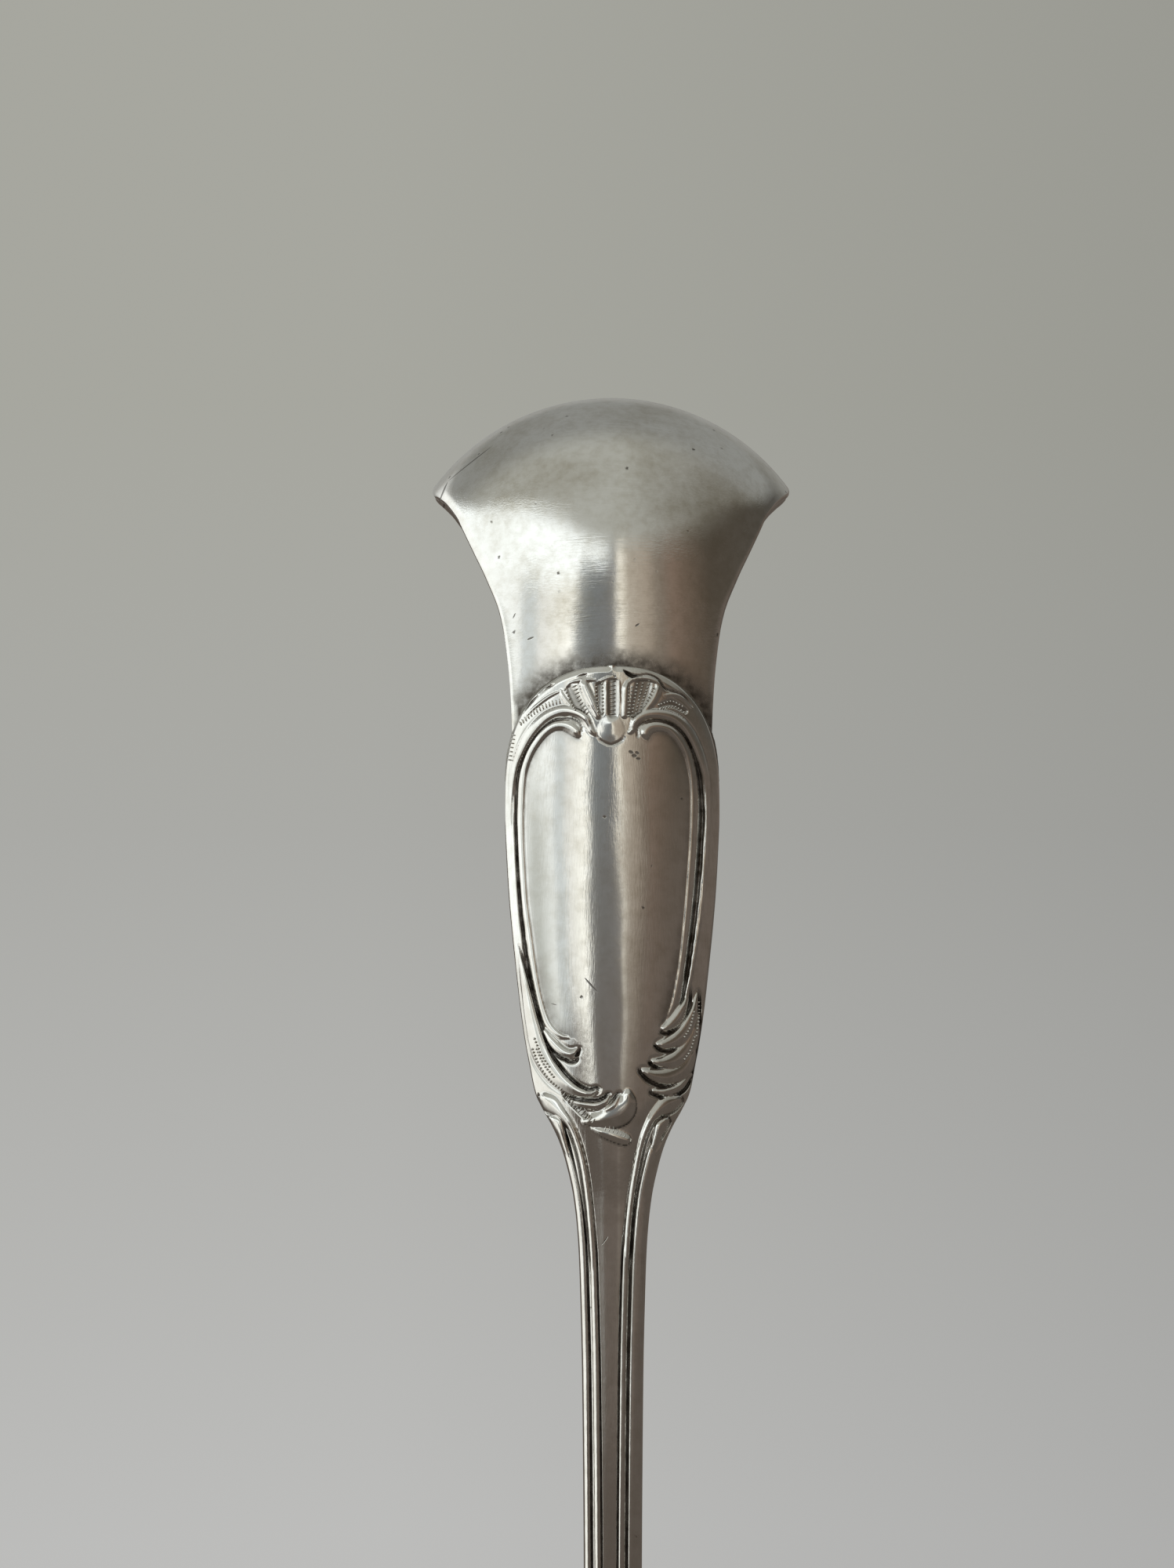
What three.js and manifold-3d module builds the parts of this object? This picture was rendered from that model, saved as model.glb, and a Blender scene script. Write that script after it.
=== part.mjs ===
// Sugar tongs: a flared sheet bow, which is the spring, brazed between two struck arms that end in claws.
// Millimetres, +Z up. The tongs stand on their claws, the front arm faces -Y and X runs across.
import * as THREE from "three";
import { mergeVertices } from "three/addons/utils/BufferGeometryUtils.js";
import Module from "manifold-3d";

const wasm = await Module();
wasm.setup();
const { degToRad, lerp, clamp, smoothstep } = THREE.MathUtils;

// Side view: bend of the bow, its gentler haunch, long bowed arm and hook of the claw, as four tangent arcs
const BOW_RADIUS = 11.5;
const SPLAY_AT_HAUNCH = degToRad(19);
const HAUNCH_RADIUS = 40;
const SPLAY_AT_BOW = degToRad(7);
const SPLAY_AT_CLAW = degToRad(2.5);
const ARM_LENGTH = 124.4;
const CLAW_RADIUS = 9;
const CLAW_TURN = degToRad(88);

// Arch across the bow and the arms, the same all along so that the lap fits, and the deeper one of the palm
const ARCH_RADIUS = 16;
const PALM_ARCH_RADIUS = 12;

// Bow: half widths of the sheet, from the tips of the crest down to the lap behind the arm
const SHEET = 0.9;
const TIP_HALF_WIDTH = 13.1;
const SHOULDER_HALF_WIDTH = 12.8;
const BEND_HALF_WIDTH = 11.1;
const NECK_HALF_WIDTH = 8.0;
const LAP_HALF_WIDTH = 7.35;
const BOW_LEG = 4.33;
const TONGUE_LENGTH = 13;
const TONGUE_INSET = 0.3;
const TONGUE_ROUND = 5;
const TONGUE_BLUNT = 0.98;

// Brazed seam between the tongue of the bow and the back of the arm
const SEAM_THICKNESS = 0.15;
const SEAM_GAP = 0.06;
const SEAM_INSET = 0.5;
const SEAM_FILLET = 0.25;

// Arm outline, from the domed top of the cartouche to the palm of the claw
const DOME_LENGTH = 9;
const DOME_POWER = 2.5;
const DOME_BLUNT = 0.997;
const CARTOUCHE_HALF_WIDTH = 7.4;
const CARTOUCHE_MIDDLE = 20.1;
const CARTOUCHE_MIDDLE_HALF_WIDTH = 6.75;
const CARTOUCHE_LENGTH = 29.2;
const CARTOUCHE_FOOT_HALF_WIDTH = 5.25;
const SHOULDER_LENGTH = 5;
const NECK_OF_STEM_HALF_WIDTH = 3.05;
const STEM_HALF_WIDTH = 2.2;
const STEM_WAIST_HALF_WIDTH = 1.85;
const STEM_LENGTH = 48;
const PALM_HALF_WIDTH = 6;
const PALM_LENGTH = 20;

// Arm section
const ARM_THICKNESS = 2.1;
const RIM_THICKNESS = 1.7;
const PALM_THICKNESS = 1.5;
const KNUCKLE_THICKNESS = 1.2;
const PANEL_CROWN = 0.55;
const STEM_CROWN = 0.4;
const BACK_CHAMFER = 0.25;
const BORDER_SHARE = 0.75;

// Twin threads along the edge: widths, and depths below the crown of the outer thread
const THREAD_WIDTH = 0.75;
const SECOND_THREAD_WIDTH = 0.5;
const THREAD_DEPTH = 0.42;
const SECOND_THREAD_DEPTH = 0.38;
const STEM_SECOND_THREAD_DEPTH = 0.08;
const EDGE_DEPTH = 0.6;
const SHOULDER_DEPTH = 0.15;

// Frame bead, shell and leaves struck on the cartouche
const BEAD_RADIUS = 0.32;
const FLUTE_COUNT = 7;
const FLUTE_SPREAD = degToRad(58);
const FLUTE_FOCUS = 5.4;
const FLUTE_START = 1.4;
const FLUTE_RIM = 1.1;
const FLUTE_RADIUS = 0.42;
const FLUTE_FOOT_RADIUS = 0.25;
const DROP_RADIUS = 0.85;
const DROP_END_RADIUS = 0.5;
const DROP_LENGTH = 1.4;

// Claw
const TALON_COUNT = 5;
const TALON_RADIUS = 1.25;
const TALON_TIP_RADIUS = 0.45;
const TALON_ROOT = 8;
const TALON_LENGTH = 8.2;
const TALON_GATHER = 0.55;
const TALON_STEP_BACK = 0.5;
const SOLE_CUT = 0.45;

// Facets
const BOW_SIDES = 16;
const BOW_STEPS = 18;
const BACK_SIDES = 3;
const PANEL_SIDES = 3;
const SEAM_STEPS = 8;
const HORN_SIDES = 5;
const HORN_STEPS = 4;

// Places along the side view, measured from the crest
const S_BEND = BOW_RADIUS * (Math.PI / 2 - SPLAY_AT_HAUNCH);
const S_HAUNCH = S_BEND + HAUNCH_RADIUS * (SPLAY_AT_HAUNCH - SPLAY_AT_BOW);
const S_TOP = S_HAUNCH + BOW_LEG;
const S_CLAW = S_HAUNCH + ARM_LENGTH;
const S_END = S_CLAW + CLAW_RADIUS * CLAW_TURN;
const SEAM_BASE = SEAM_GAP + SEAM_THICKNESS;
const ARM_BACK = SEAM_BASE + SEAM_GAP;

// Smooth curve through [place, value] stations, level at both ends
function through(stations) {
  const slope = stations.map(([at, value], i) => {
    const before = stations[i - 1];
    const after = stations[i + 1];
    return before && after ? (after[1] - before[1]) / (after[0] - before[0]) : 0;
  });
  return (at) => {
    const last = stations.length - 2;
    const i = clamp(stations.findIndex(([place]) => place > at) - 1, 0, last);
    const k = at >= stations[last + 1][0] ? last : i;
    const [a, va] = stations[k];
    const [b, vb] = stations[k + 1];
    const f = clamp((at - a) / (b - a), 0, 1);
    const hermite = (1 + 2 * f) * (1 - f) ** 2 * va + f * f * (3 - 2 * f) * vb;
    return hermite + (b - a) * f * (1 - f) * ((1 - f) * slope[k] - f * slope[k + 1]);
  };
}

// Front half of the side view: place, and angle outwards from straight down, at a distance from the crest
const ARCS = [
  { from: 0, to: S_BEND, turn: Math.PI / 2 - SPLAY_AT_HAUNCH },
  { from: S_BEND, to: S_HAUNCH, turn: SPLAY_AT_HAUNCH - SPLAY_AT_BOW },
  { from: S_HAUNCH, to: S_CLAW, turn: SPLAY_AT_BOW - SPLAY_AT_CLAW },
  { from: S_CLAW, to: S_END, turn: CLAW_TURN },
];
function spine(s) {
  let [y, z, angle] = [0, 0, Math.PI / 2];
  for (const { from, to, turn } of ARCS) {
    const run = clamp(s, from, to) - from;
    const radius = (to - from) / turn;
    const next = angle - run / radius;
    y += radius * (Math.cos(angle) - Math.cos(next));
    z += radius * (Math.sin(next) - Math.sin(angle));
    angle = next;
  }
  return { y, z, angle };
}

// A point given across, along and outwards, bent onto the side view
function bend(x, s, n) {
  const { y, z, angle } = spine(Math.abs(s));
  const side = s < 0 ? -1 : 1;
  return new THREE.Vector3(x, side * (y - n * Math.cos(angle)), z + n * Math.sin(angle));
}

// Closed skin over rings with as many points each, capped at both ends
function loft(rings, capOutline) {
  if (THREE.ShapeUtils.isClockWise(capOutline)) {
    return loft(rings.map((ring) => ring.toReversed()), capOutline.toReversed());
  }
  const size = rings[0].length;
  const index = [];
  for (let r = 0; r < rings.length - 1; r++) {
    for (let i = 0; i < size; i++) {
      const a = r * size + i;
      const b = r * size + ((i + 1) % size);
      index.push(a, b, b + size, a, b + size, a + size);
    }
  }
  const end = (rings.length - 1) * size;
  for (const [a, b, c] of THREE.ShapeUtils.triangulateShape(capOutline, [])) {
    index.push(a, c, b, end + a, end + b, end + c);
  }
  const geometry = new THREE.BufferGeometry().setFromPoints(rings.flat());
  geometry.setIndex(index);
  return geometry;
}

function toSolid(geometry) {
  const merged = mergeVertices(geometry, 1e-5);
  const triVerts = new Uint32Array(merged.index.array);
  const vertProperties = merged.attributes.position.array;
  return new wasm.Manifold(new wasm.Mesh({ numProp: 3, vertProperties, triVerts }));
}

function toGeometry(solid) {
  const { vertProperties, triVerts } = solid.getMesh();
  const geometry = new THREE.BufferGeometry();
  geometry.setAttribute("position", new THREE.BufferAttribute(vertProperties, 3));
  geometry.setIndex(new THREE.BufferAttribute(triVerts, 1));
  geometry.computeVertexNormals();
  return geometry;
}

// Tapered round horn through points [across, along, outwards, radius], bent onto the side view
function horn(points, steps = HORN_STEPS) {
  const path = new THREE.CatmullRomCurve3(points.map(([x, s, n]) => new THREE.Vector3(x, n, s)));
  const radius = through(points.map(([, , , r], i) => [i / (points.length - 1), r]));
  const outline = [];
  for (let k = 0; k < HORN_SIDES; k++) {
    const turn = (2 * Math.PI * k) / HORN_SIDES;
    outline.push(new THREE.Vector2(Math.cos(turn), Math.sin(turn)));
  }
  const outwards = new THREE.Vector3(0, 1, 0);
  const rings = [];
  for (let i = 0; i <= steps; i++) {
    const centre = path.getPoint(i / steps);
    const along = path.getTangent(i / steps);
    const across = new THREE.Vector3().crossVectors(outwards, along).normalize();
    const up = new THREE.Vector3().crossVectors(along, across);
    const r = radius(i / steps);
    rings.push(
      outline.map((o) => {
        const p = centre.clone().addScaledVector(across, o.x * r).addScaledVector(up, o.y * r);
        return bend(p.x, p.z, p.y);
      }),
    );
  }
  return toSolid(loft(rings, outline));
}

// Bow: an arched sheet over the bend, from the tongue behind one arm to the tongue behind the other
const S_TONGUE = S_TOP + TONGUE_LENGTH;
const bowHalfWidth = through([
  [0, TIP_HALF_WIDTH],
  [S_BEND / 2, SHOULDER_HALF_WIDTH],
  [S_BEND, BEND_HALF_WIDTH],
  [S_HAUNCH, NECK_HALF_WIDTH],
  [S_TOP, LAP_HALF_WIDTH],
  [S_TOP + DOME_LENGTH / 2, CARTOUCHE_HALF_WIDTH - TONGUE_INSET],
]);
function tongueRound(s) {
  const into = clamp((s - S_TONGUE + TONGUE_ROUND) / TONGUE_ROUND, 0, TONGUE_BLUNT);
  return Math.sqrt(1 - into ** 2);
}
// Section of the sheet: an arc of the arch radius and one a sheet's thickness inside it
const bowEdge = (s) => bowHalfWidth(Math.abs(s)) * tongueRound(Math.abs(s));
function bowRing(s) {
  const reach = Math.asin(bowEdge(s) / ARCH_RADIUS);
  const face = (radius, from, to) => {
    const points = [];
    for (let i = 0; i <= BOW_SIDES; i++) {
      const turn = lerp(from, to, i / BOW_SIDES);
      points.push(new THREE.Vector2(radius * Math.sin(turn), radius * Math.cos(turn) - ARCH_RADIUS));
    }
    return points;
  };
  return [...face(ARCH_RADIUS, -reach, reach), ...face(ARCH_RADIUS - SHEET, reach, -reach)];
}
function bowGeometry() {
  const stations = [];
  for (let i = -BOW_STEPS; i <= BOW_STEPS; i++) {
    stations.push((S_TONGUE * i) / BOW_STEPS);
  }
  const rings = stations.map((s) => bowRing(s).map((p) => bend(p.x, s, p.y)));
  return loft(rings, bowRing(S_TONGUE));
}

// Arm outline: half width at a distance below the top of the cartouche
const T_SHOULDER = CARTOUCHE_LENGTH + SHOULDER_LENGTH;
const T_STEM = T_SHOULDER + SHOULDER_LENGTH;
const T_WAIST = T_STEM + STEM_LENGTH;
const T_CLAW = S_CLAW - S_TOP;
const T_END = S_END - S_TOP;
const T_PALM = T_CLAW - PALM_LENGTH;
const T_KNUCKLE = T_END - TALON_LENGTH;
const flank = through([
  [DOME_LENGTH, CARTOUCHE_HALF_WIDTH],
  [CARTOUCHE_MIDDLE, CARTOUCHE_MIDDLE_HALF_WIDTH],
  [CARTOUCHE_LENGTH, CARTOUCHE_FOOT_HALF_WIDTH],
  [T_SHOULDER, NECK_OF_STEM_HALF_WIDTH],
  [T_STEM, STEM_HALF_WIDTH],
  [T_WAIST, STEM_WAIST_HALF_WIDTH],
  [(T_WAIST + T_PALM) / 2, STEM_WAIST_HALF_WIDTH],
  [T_CLAW, PALM_HALF_WIDTH],
  [T_KNUCKLE, PALM_HALF_WIDTH],
]);
function armHalfWidth(t) {
  if (t > DOME_LENGTH) return flank(t);
  const rise = clamp((DOME_LENGTH - t) / DOME_LENGTH, 0, DOME_BLUNT);
  return CARTOUCHE_HALF_WIDTH * (1 - rise ** DOME_POWER) ** (1 / DOME_POWER);
}

// Arm section: thickness, arch of the palm and the struck face, outwards from the back
const thickness = through([
  [0, RIM_THICKNESS],
  [DOME_LENGTH, ARM_THICKNESS],
  [T_WAIST, ARM_THICKNESS],
  [T_CLAW, PALM_THICKNESS],
  [T_KNUCKLE, KNUCKLE_THICKNESS],
]);
const cartoucheShare = (t) => 1 - smoothstep(t, CARTOUCHE_LENGTH, T_STEM);
const palmShare = (t) => smoothstep(t, T_PALM, T_CLAW);
function arch(x, t) {
  const radius = lerp(ARCH_RADIUS, PALM_ARCH_RADIUS, palmShare(t));
  return Math.sqrt(radius ** 2 - x ** 2) - radius;
}
const SECOND_THREAD = THREAD_WIDTH + SECOND_THREAD_WIDTH / 2;
const BORDER = THREAD_WIDTH + SECOND_THREAD_WIDTH;
// Distances in from the edge that carry the corners of the threads, with the depth at each
function borderSection(t) {
  const fade = 1 - palmShare(t);
  const second = lerp(STEM_SECOND_THREAD_DEPTH, SECOND_THREAD_DEPTH, cartoucheShare(t));
  return [
    [0, EDGE_DEPTH],
    [THREAD_WIDTH / 5, SHOULDER_DEPTH],
    [THREAD_WIDTH / 2, 0],
    [(THREAD_WIDTH * 4) / 5, SHOULDER_DEPTH * fade],
    [THREAD_WIDTH, THREAD_DEPTH * fade],
    [SECOND_THREAD, second * fade],
    [BORDER, THREAD_DEPTH * fade],
  ];
}
const crown = (t) => lerp(STEM_CROWN, THREAD_DEPTH + PANEL_CROWN, cartoucheShare(t)) * (1 - palmShare(t));
// Outline slope, which turns a distance square to the edge into one straight across
function edgeSlope(t) {
  const step = 0.05;
  const from = Math.max(t - step, step);
  return Math.hypot(1, (armHalfWidth(from + 2 * step) - armHalfWidth(from)) / (2 * step));
}
// Half of the face: [across, outwards] from the edge to the middle
function halfFace(t) {
  const half = armHalfWidth(t);
  const border = borderSection(t);
  const top = ARM_BACK + thickness(t);
  const points = border.map(([inset, depth], i) => {
    const across = half - Math.min(inset * edgeSlope(t), (half * BORDER_SHARE * i) / border.length);
    return [across, top - depth + arch(across, t)];
  });
  const inner = points.at(-1)[0];
  const floor = border.at(-1)[1];
  for (let i = PANEL_SIDES - 1; i >= 0; i--) {
    const share = i / PANEL_SIDES;
    const across = inner * share;
    points.push([across, top - floor + crown(t) * (1 - share ** 2) + arch(across, t)]);
  }
  return points;
}
// Height of the face at a place, by straight runs between the corners of its section
function faceHeight(x, t) {
  const points = halfFace(t);
  const i = clamp(points.findIndex(([across]) => across <= Math.abs(x)), 1, points.length - 1);
  const [[xa, na], [xb, nb]] = [points[i - 1], points[i]];
  return lerp(nb, na, clamp((Math.abs(x) - xb) / (xa - xb), 0, 1));
}
function armRing(t) {
  const half = armHalfWidth(t);
  const right = halfFace(t);
  const left = right.slice(0, -1).map(([x, n]) => [-x, n]);
  const corner = half - Math.min(BACK_CHAMFER, half / 3);
  const side = ARM_BACK + BACK_CHAMFER + arch(half, t);
  const back = [[half, side]];
  for (let i = BACK_SIDES; i >= -BACK_SIDES; i--) {
    const x = (corner * i) / BACK_SIDES;
    back.push([x, ARM_BACK + arch(x, t)]);
  }
  back.push([-half, side]);
  return [...left, ...right.toReversed(), ...back].map(([x, n]) => new THREE.Vector2(x, n));
}
function armStations() {
  const stations = [];
  const run = (from, to, steps, power = 1) => {
    for (let i = 0; i < steps; i++) stations.push(from + (to - from) * (i / steps) ** power);
  };
  run(0, DOME_LENGTH, 8, 2);
  run(DOME_LENGTH, CARTOUCHE_LENGTH, 6);
  run(CARTOUCHE_LENGTH, T_STEM, 7);
  run(T_STEM, T_PALM, 6);
  run(T_PALM, T_CLAW, 7);
  run(T_CLAW, T_KNUCKLE, 4);
  return [...stations, T_KNUCKLE];
}

// Frame bead of the cartouche: volute beside the shell, arch, and flank down to the leaves
const FRAME = [
  [2.6, 4.8, 0.3],
  [2, 4.55, 0.6],
  [2.1, 4.05, 0.8],
  [2.9, 3.75, 1],
  [4.2, 4.2, 1],
  [5.3, 5.4, 1],
  [5.95, 7.6, 1],
  [6.05, 11, 1],
  [5.6, 16.5, 1],
  [5, 21, 1],
  [4.5, 23.8, 1],
  [3.6, 25, 0.4],
];
// Leaves at the foot of the cartouche, each [across, along, share of the bead radius], root first
const LEAVES = [
  [[-4.6, 24.2, 1], [-4, 25.6, 1.1], [-3.2, 26.3, 0.9], [-2.3, 26.5, 0.4]],
  [[-5.5, 24.6, 1], [-4.7, 27.1, 1.4], [-2.6, 29.1, 1.4], [-0.9, 29.2, 0.5]],
  [[-5.2, 26.8, 0.8], [-3.9, 28.9, 1.2], [-1.6, 30.9, 1.4], [0.9, 31.9, 0.7]],
  [[1.9, 30.6, 0.7], [0.9, 30.5, 2], [0.1, 30.2, 1.6], [-0.2, 29.2, 0.5]],
  [[5.4, 24, 1], [4.8, 25.2, 1.2], [3.9, 25.7, 1.1], [3, 25.8, 0.5]],
  [[5.4, 25, 1], [4.7, 26.4, 1.2], [3.7, 27, 1.1], [2.7, 27, 0.5]],
  [[5.3, 26.2, 1], [4.6, 27.6, 1.3], [3.5, 28.1, 1.2], [2.2, 27.7, 0.5]],
  [[2.2, 31.4, 0.8], [2.7, 30.2, 1.3], [3.7, 29.6, 1.4], [4.8, 29.4, 0.6]],
  [[-2.8, 31.6, 0.8], [-3.3, 30.5, 1.3], [-4.2, 29.8, 1.4], [-5, 29.3, 0.6]],
];
const onFace = ([x, t, share]) => {
  const half = armHalfWidth(t) - BEAD_RADIUS;
  const across = clamp(x, -half, half);
  return [across, S_TOP + t, faceHeight(across, t), BEAD_RADIUS * share];
};
function ornament() {
  const horns = LEAVES.map((leaf) => horn(leaf.map(onFace)));
  for (const side of [-1, 1]) {
    horns.push(horn(FRAME.map(([x, t, share]) => onFace([side * x, t, share])), 3 * HORN_STEPS));
  }
  for (let i = 0; i < FLUTE_COUNT; i++) {
    const turn = lerp(-FLUTE_SPREAD, FLUTE_SPREAD, i / (FLUTE_COUNT - 1));
    const end = (FLUTE_FOCUS - FLUTE_RIM) / Math.cos(turn / 2);
    const flute = [0, 0.5, 1].map((share) => {
      const reach = lerp(FLUTE_START, end, share);
      const [x, t] = [reach * Math.sin(turn), FLUTE_FOCUS - reach * Math.cos(turn)];
      return [x, S_TOP + t, faceHeight(x, t), lerp(FLUTE_FOOT_RADIUS, FLUTE_RADIUS, share)];
    });
    horns.push(horn(flute, 3));
  }
  const drop = [DROP_END_RADIUS, DROP_RADIUS, DROP_END_RADIUS].map((radius, i) => {
    const t = FLUTE_FOCUS - DROP_LENGTH * (1 - i / 2);
    return [0, S_TOP + t, faceHeight(0, t), radius];
  });
  return [...horns, horn(drop, 4)];
}

// Talons: toes that rise out of the cupped palm and run on as hooked points, with all their tips level
function talons() {
  const horns = [];
  const middle = (TALON_COUNT - 1) / 2;
  for (let i = 0; i < TALON_COUNT; i++) {
    const aside = (i - middle) / middle;
    const root = T_KNUCKLE - TALON_ROOT;
    const end = T_END - TALON_STEP_BACK * aside ** 2;
    const toe = [0, 0.25, 0.5, 0.75, 1].map((share) => {
      const t = lerp(root, end, share);
      const x = aside * (PALM_HALF_WIDTH - TALON_RADIUS) * lerp(TALON_GATHER, 1, Math.min(1, 2 * share));
      const taper = lerp(TALON_RADIUS, TALON_TIP_RADIUS, clamp(2 * share - 1, 0, 1));
      const radius = share > 0 ? taper : TALON_TIP_RADIUS;
      const cup = arch(x, T_CLAW) * (1 - share);
      return [x, S_TOP + t, ARM_BACK + PALM_THICKNESS / 2 + cup, radius];
    });
    horns.push(horn(toe, 2 * HORN_STEPS));
  }
  return horns;
}

function armSolid() {
  const rings = armStations().map((t) => armRing(t).map((p) => bend(p.x, S_TOP + t, p.y)));
  const body = toSolid(loft(rings, armRing(T_CLAW)));
  const struck = [body, ...ornament(), ...talons()].reduce((whole, piece) => whole.add(piece));
  // Only the outer skin is kept, so the arm is solid under its relief
  return struck.decompose().reduce((most, piece) => (piece.volume() > most.volume() ? piece : most));
}

// Brazed seam: a thin arched layer between tongue and arm, with a fillet round the dome of the cartouche
function seamGeometry() {
  const stations = [];
  for (let i = 0; i <= SEAM_STEPS; i++) {
    stations.push(lerp(-SEAM_FILLET, TONGUE_LENGTH - TONGUE_ROUND / 2, (i / SEAM_STEPS) ** 2));
  }
  const ring = (t) => {
    const dome = armHalfWidth(t + SEAM_FILLET) + SEAM_FILLET;
    const edge = Math.min(bowEdge(S_TOP + t) - SEAM_INSET, dome);
    const top = [];
    const under = [];
    for (let i = -SEAM_STEPS; i <= SEAM_STEPS; i += 2) {
      const x = (edge * i) / SEAM_STEPS;
      top.push(new THREE.Vector2(x, SEAM_BASE + arch(x, 0)));
      under.unshift(new THREE.Vector2(x, SEAM_GAP + arch(x, 0)));
    }
    return [...top, ...under];
  };
  const rings = stations.map((t) => ring(t).map((p) => bend(p.x, S_TOP + t, p.y)));
  return loft(rings, ring(0));
}

// Finishes
const silver = new THREE.MeshStandardMaterial({ color: 0xb8b5ae, metalness: 1, roughness: 0.28 });
const braze = new THREE.MeshStandardMaterial({ color: 0x9c9078, metalness: 1, roughness: 0.5 });

function node(name, geometry, material) {
  const mesh = new THREE.Mesh(geometry, material);
  mesh.name = name;
  return mesh;
}

// The claws are dressed flat where they stand, and that sole is the height zero
const arm = armSolid();
const floor = arm.boundingBox().min[2] + SOLE_CUT;
const ground = new THREE.BoxGeometry(4 * PALM_HALF_WIDTH, 8 * CLAW_RADIUS, 2 * SOLE_CUT);
ground.deleteAttribute("normal");
ground.deleteAttribute("uv");
ground.translate(0, spine(S_CLAW).y, floor - SOLE_CUT);
const standingArm = toGeometry(arm.subtract(toSolid(ground)));

const tongs = new THREE.Group();
tongs.position.z = -floor;
tongs.add(node("bow_spring", bowGeometry(), silver));
for (const [name, turn] of [["front", 0], ["rear", Math.PI]]) {
  const side = new THREE.Group();
  side.rotation.z = turn;
  side.add(node(`${name}_arm`, standingArm, silver));
  side.add(node(`${name}_brazed_seam`, seamGeometry(), braze));
  tongs.add(side);
}

export default tongs;
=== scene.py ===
# %% [markdown]
# # Sugar tongs
# These tongs are one springy bow of sheet metal between two struck arms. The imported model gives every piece
# its place, so this lesson only dresses it: each step makes a finer skin over the same side view.
# All sizes are in millimetres and are scaled once, when a mesh is made, because Blender works in metres.

# %% Frame
import math
from functools import partialmethod
import bmesh
import bpy
import numpy as np
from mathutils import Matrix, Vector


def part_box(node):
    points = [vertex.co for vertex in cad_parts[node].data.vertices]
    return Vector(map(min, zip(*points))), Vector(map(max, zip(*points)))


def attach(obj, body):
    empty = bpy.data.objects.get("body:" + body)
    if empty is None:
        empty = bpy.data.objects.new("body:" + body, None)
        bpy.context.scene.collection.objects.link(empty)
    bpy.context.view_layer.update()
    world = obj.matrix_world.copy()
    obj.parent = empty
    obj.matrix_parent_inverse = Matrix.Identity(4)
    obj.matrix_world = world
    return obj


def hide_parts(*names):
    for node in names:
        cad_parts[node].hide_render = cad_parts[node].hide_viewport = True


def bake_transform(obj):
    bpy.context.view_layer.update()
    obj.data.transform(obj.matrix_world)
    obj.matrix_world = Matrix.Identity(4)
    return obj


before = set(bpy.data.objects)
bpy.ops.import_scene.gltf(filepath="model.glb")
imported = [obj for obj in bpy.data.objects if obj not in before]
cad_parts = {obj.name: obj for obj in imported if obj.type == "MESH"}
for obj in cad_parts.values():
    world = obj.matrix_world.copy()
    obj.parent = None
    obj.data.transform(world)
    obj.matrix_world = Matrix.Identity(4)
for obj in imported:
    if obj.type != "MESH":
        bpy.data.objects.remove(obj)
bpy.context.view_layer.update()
scene = bpy.context.scene
MM = 0.001
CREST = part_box("bow_spring")[1].z / MM
print("frame loaded, crest at", round(CREST, 3), "mm")

# %% [markdown]
# ## Side view
# Seen from the side, half of the tongs is four tangent arcs: the bend of the bow, its gentler haunch, the long
# bowed arm and the hook of the claw. Every piece is drawn flat, by how far across, along and outwards it lies, and is
# then bent onto this line. One function for all pieces keeps them against each other without any fitting.

# %% Bending flat drawings
BOW_RADIUS, HAUNCH_RADIUS, ARM_LENGTH, CLAW_RADIUS = 11.5, 40.0, 124.4, 9.0
SPLAY_AT_HAUNCH, SPLAY_AT_BOW, SPLAY_AT_CLAW, CLAW_TURN = (math.radians(a) for a in (19, 7, 2.5, 88))
S_BEND = BOW_RADIUS * (math.pi / 2 - SPLAY_AT_HAUNCH)
S_HAUNCH = S_BEND + HAUNCH_RADIUS * (SPLAY_AT_HAUNCH - SPLAY_AT_BOW)
S_CLAW = S_HAUNCH + ARM_LENGTH
S_END = S_CLAW + CLAW_RADIUS * CLAW_TURN
ARCS = [
    (0, S_BEND, math.pi / 2 - SPLAY_AT_HAUNCH),
    (S_BEND, S_HAUNCH, SPLAY_AT_HAUNCH - SPLAY_AT_BOW),
    (S_HAUNCH, S_CLAW, SPLAY_AT_BOW - SPLAY_AT_CLAW),
    (S_CLAW, S_END, CLAW_TURN),
]


def bent(x, s, n):
    """Points across, along from the crest and outwards, on the front side, in metres."""
    x, s, n = np.broadcast_arrays(np.asarray(x, float), s, n)
    y, z, angle = np.zeros(s.shape), np.full(s.shape, CREST), np.full(s.shape, math.pi / 2)
    for begin, end, turn in ARCS:
        radius = (end - begin) / turn
        after = angle - (np.clip(s, begin, end) - begin) / radius
        y += radius * (np.cos(angle) - np.cos(after))
        z += radius * (np.sin(after) - np.sin(angle))
        angle = after
    return np.stack([x, y - n * np.cos(angle), z + n * np.sin(angle)], -1) * MM


def through(stations):
    """Smooth curve through (place, value) stations, level at both ends."""
    at, value = np.array(stations, float).T
    slope = np.zeros(len(at))
    slope[1:-1] = (value[2:] - value[:-2]) / (at[2:] - at[:-2])

    def curve(place):
        k = np.clip(np.searchsorted(at, place, side="right") - 1, 0, len(at) - 2)
        run = at[k + 1] - at[k]
        f = np.clip((place - at[k]) / run, 0, 1)
        ends = (1 + 2 * f) * (1 - f) ** 2 * value[k] + f * f * (3 - 2 * f) * value[k + 1]
        return ends + run * f * (1 - f) * ((1 - f) * slope[k] - f * slope[k + 1])

    return curve


def ease(value, low, high):
    f = np.clip((value - low) / (high - low), 0, 1)
    return f * f * (3 - 2 * f)


def placed(name, data):
    """A new object in the scene."""
    thing = bpy.data.objects.new(name, data)
    scene.collection.objects.link(thing)
    return thing


def new_mesh(name, points, edges=(), faces=()):
    mesh = bpy.data.meshes.new(name)
    mesh.from_pydata(points, edges, faces)
    return mesh


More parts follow.
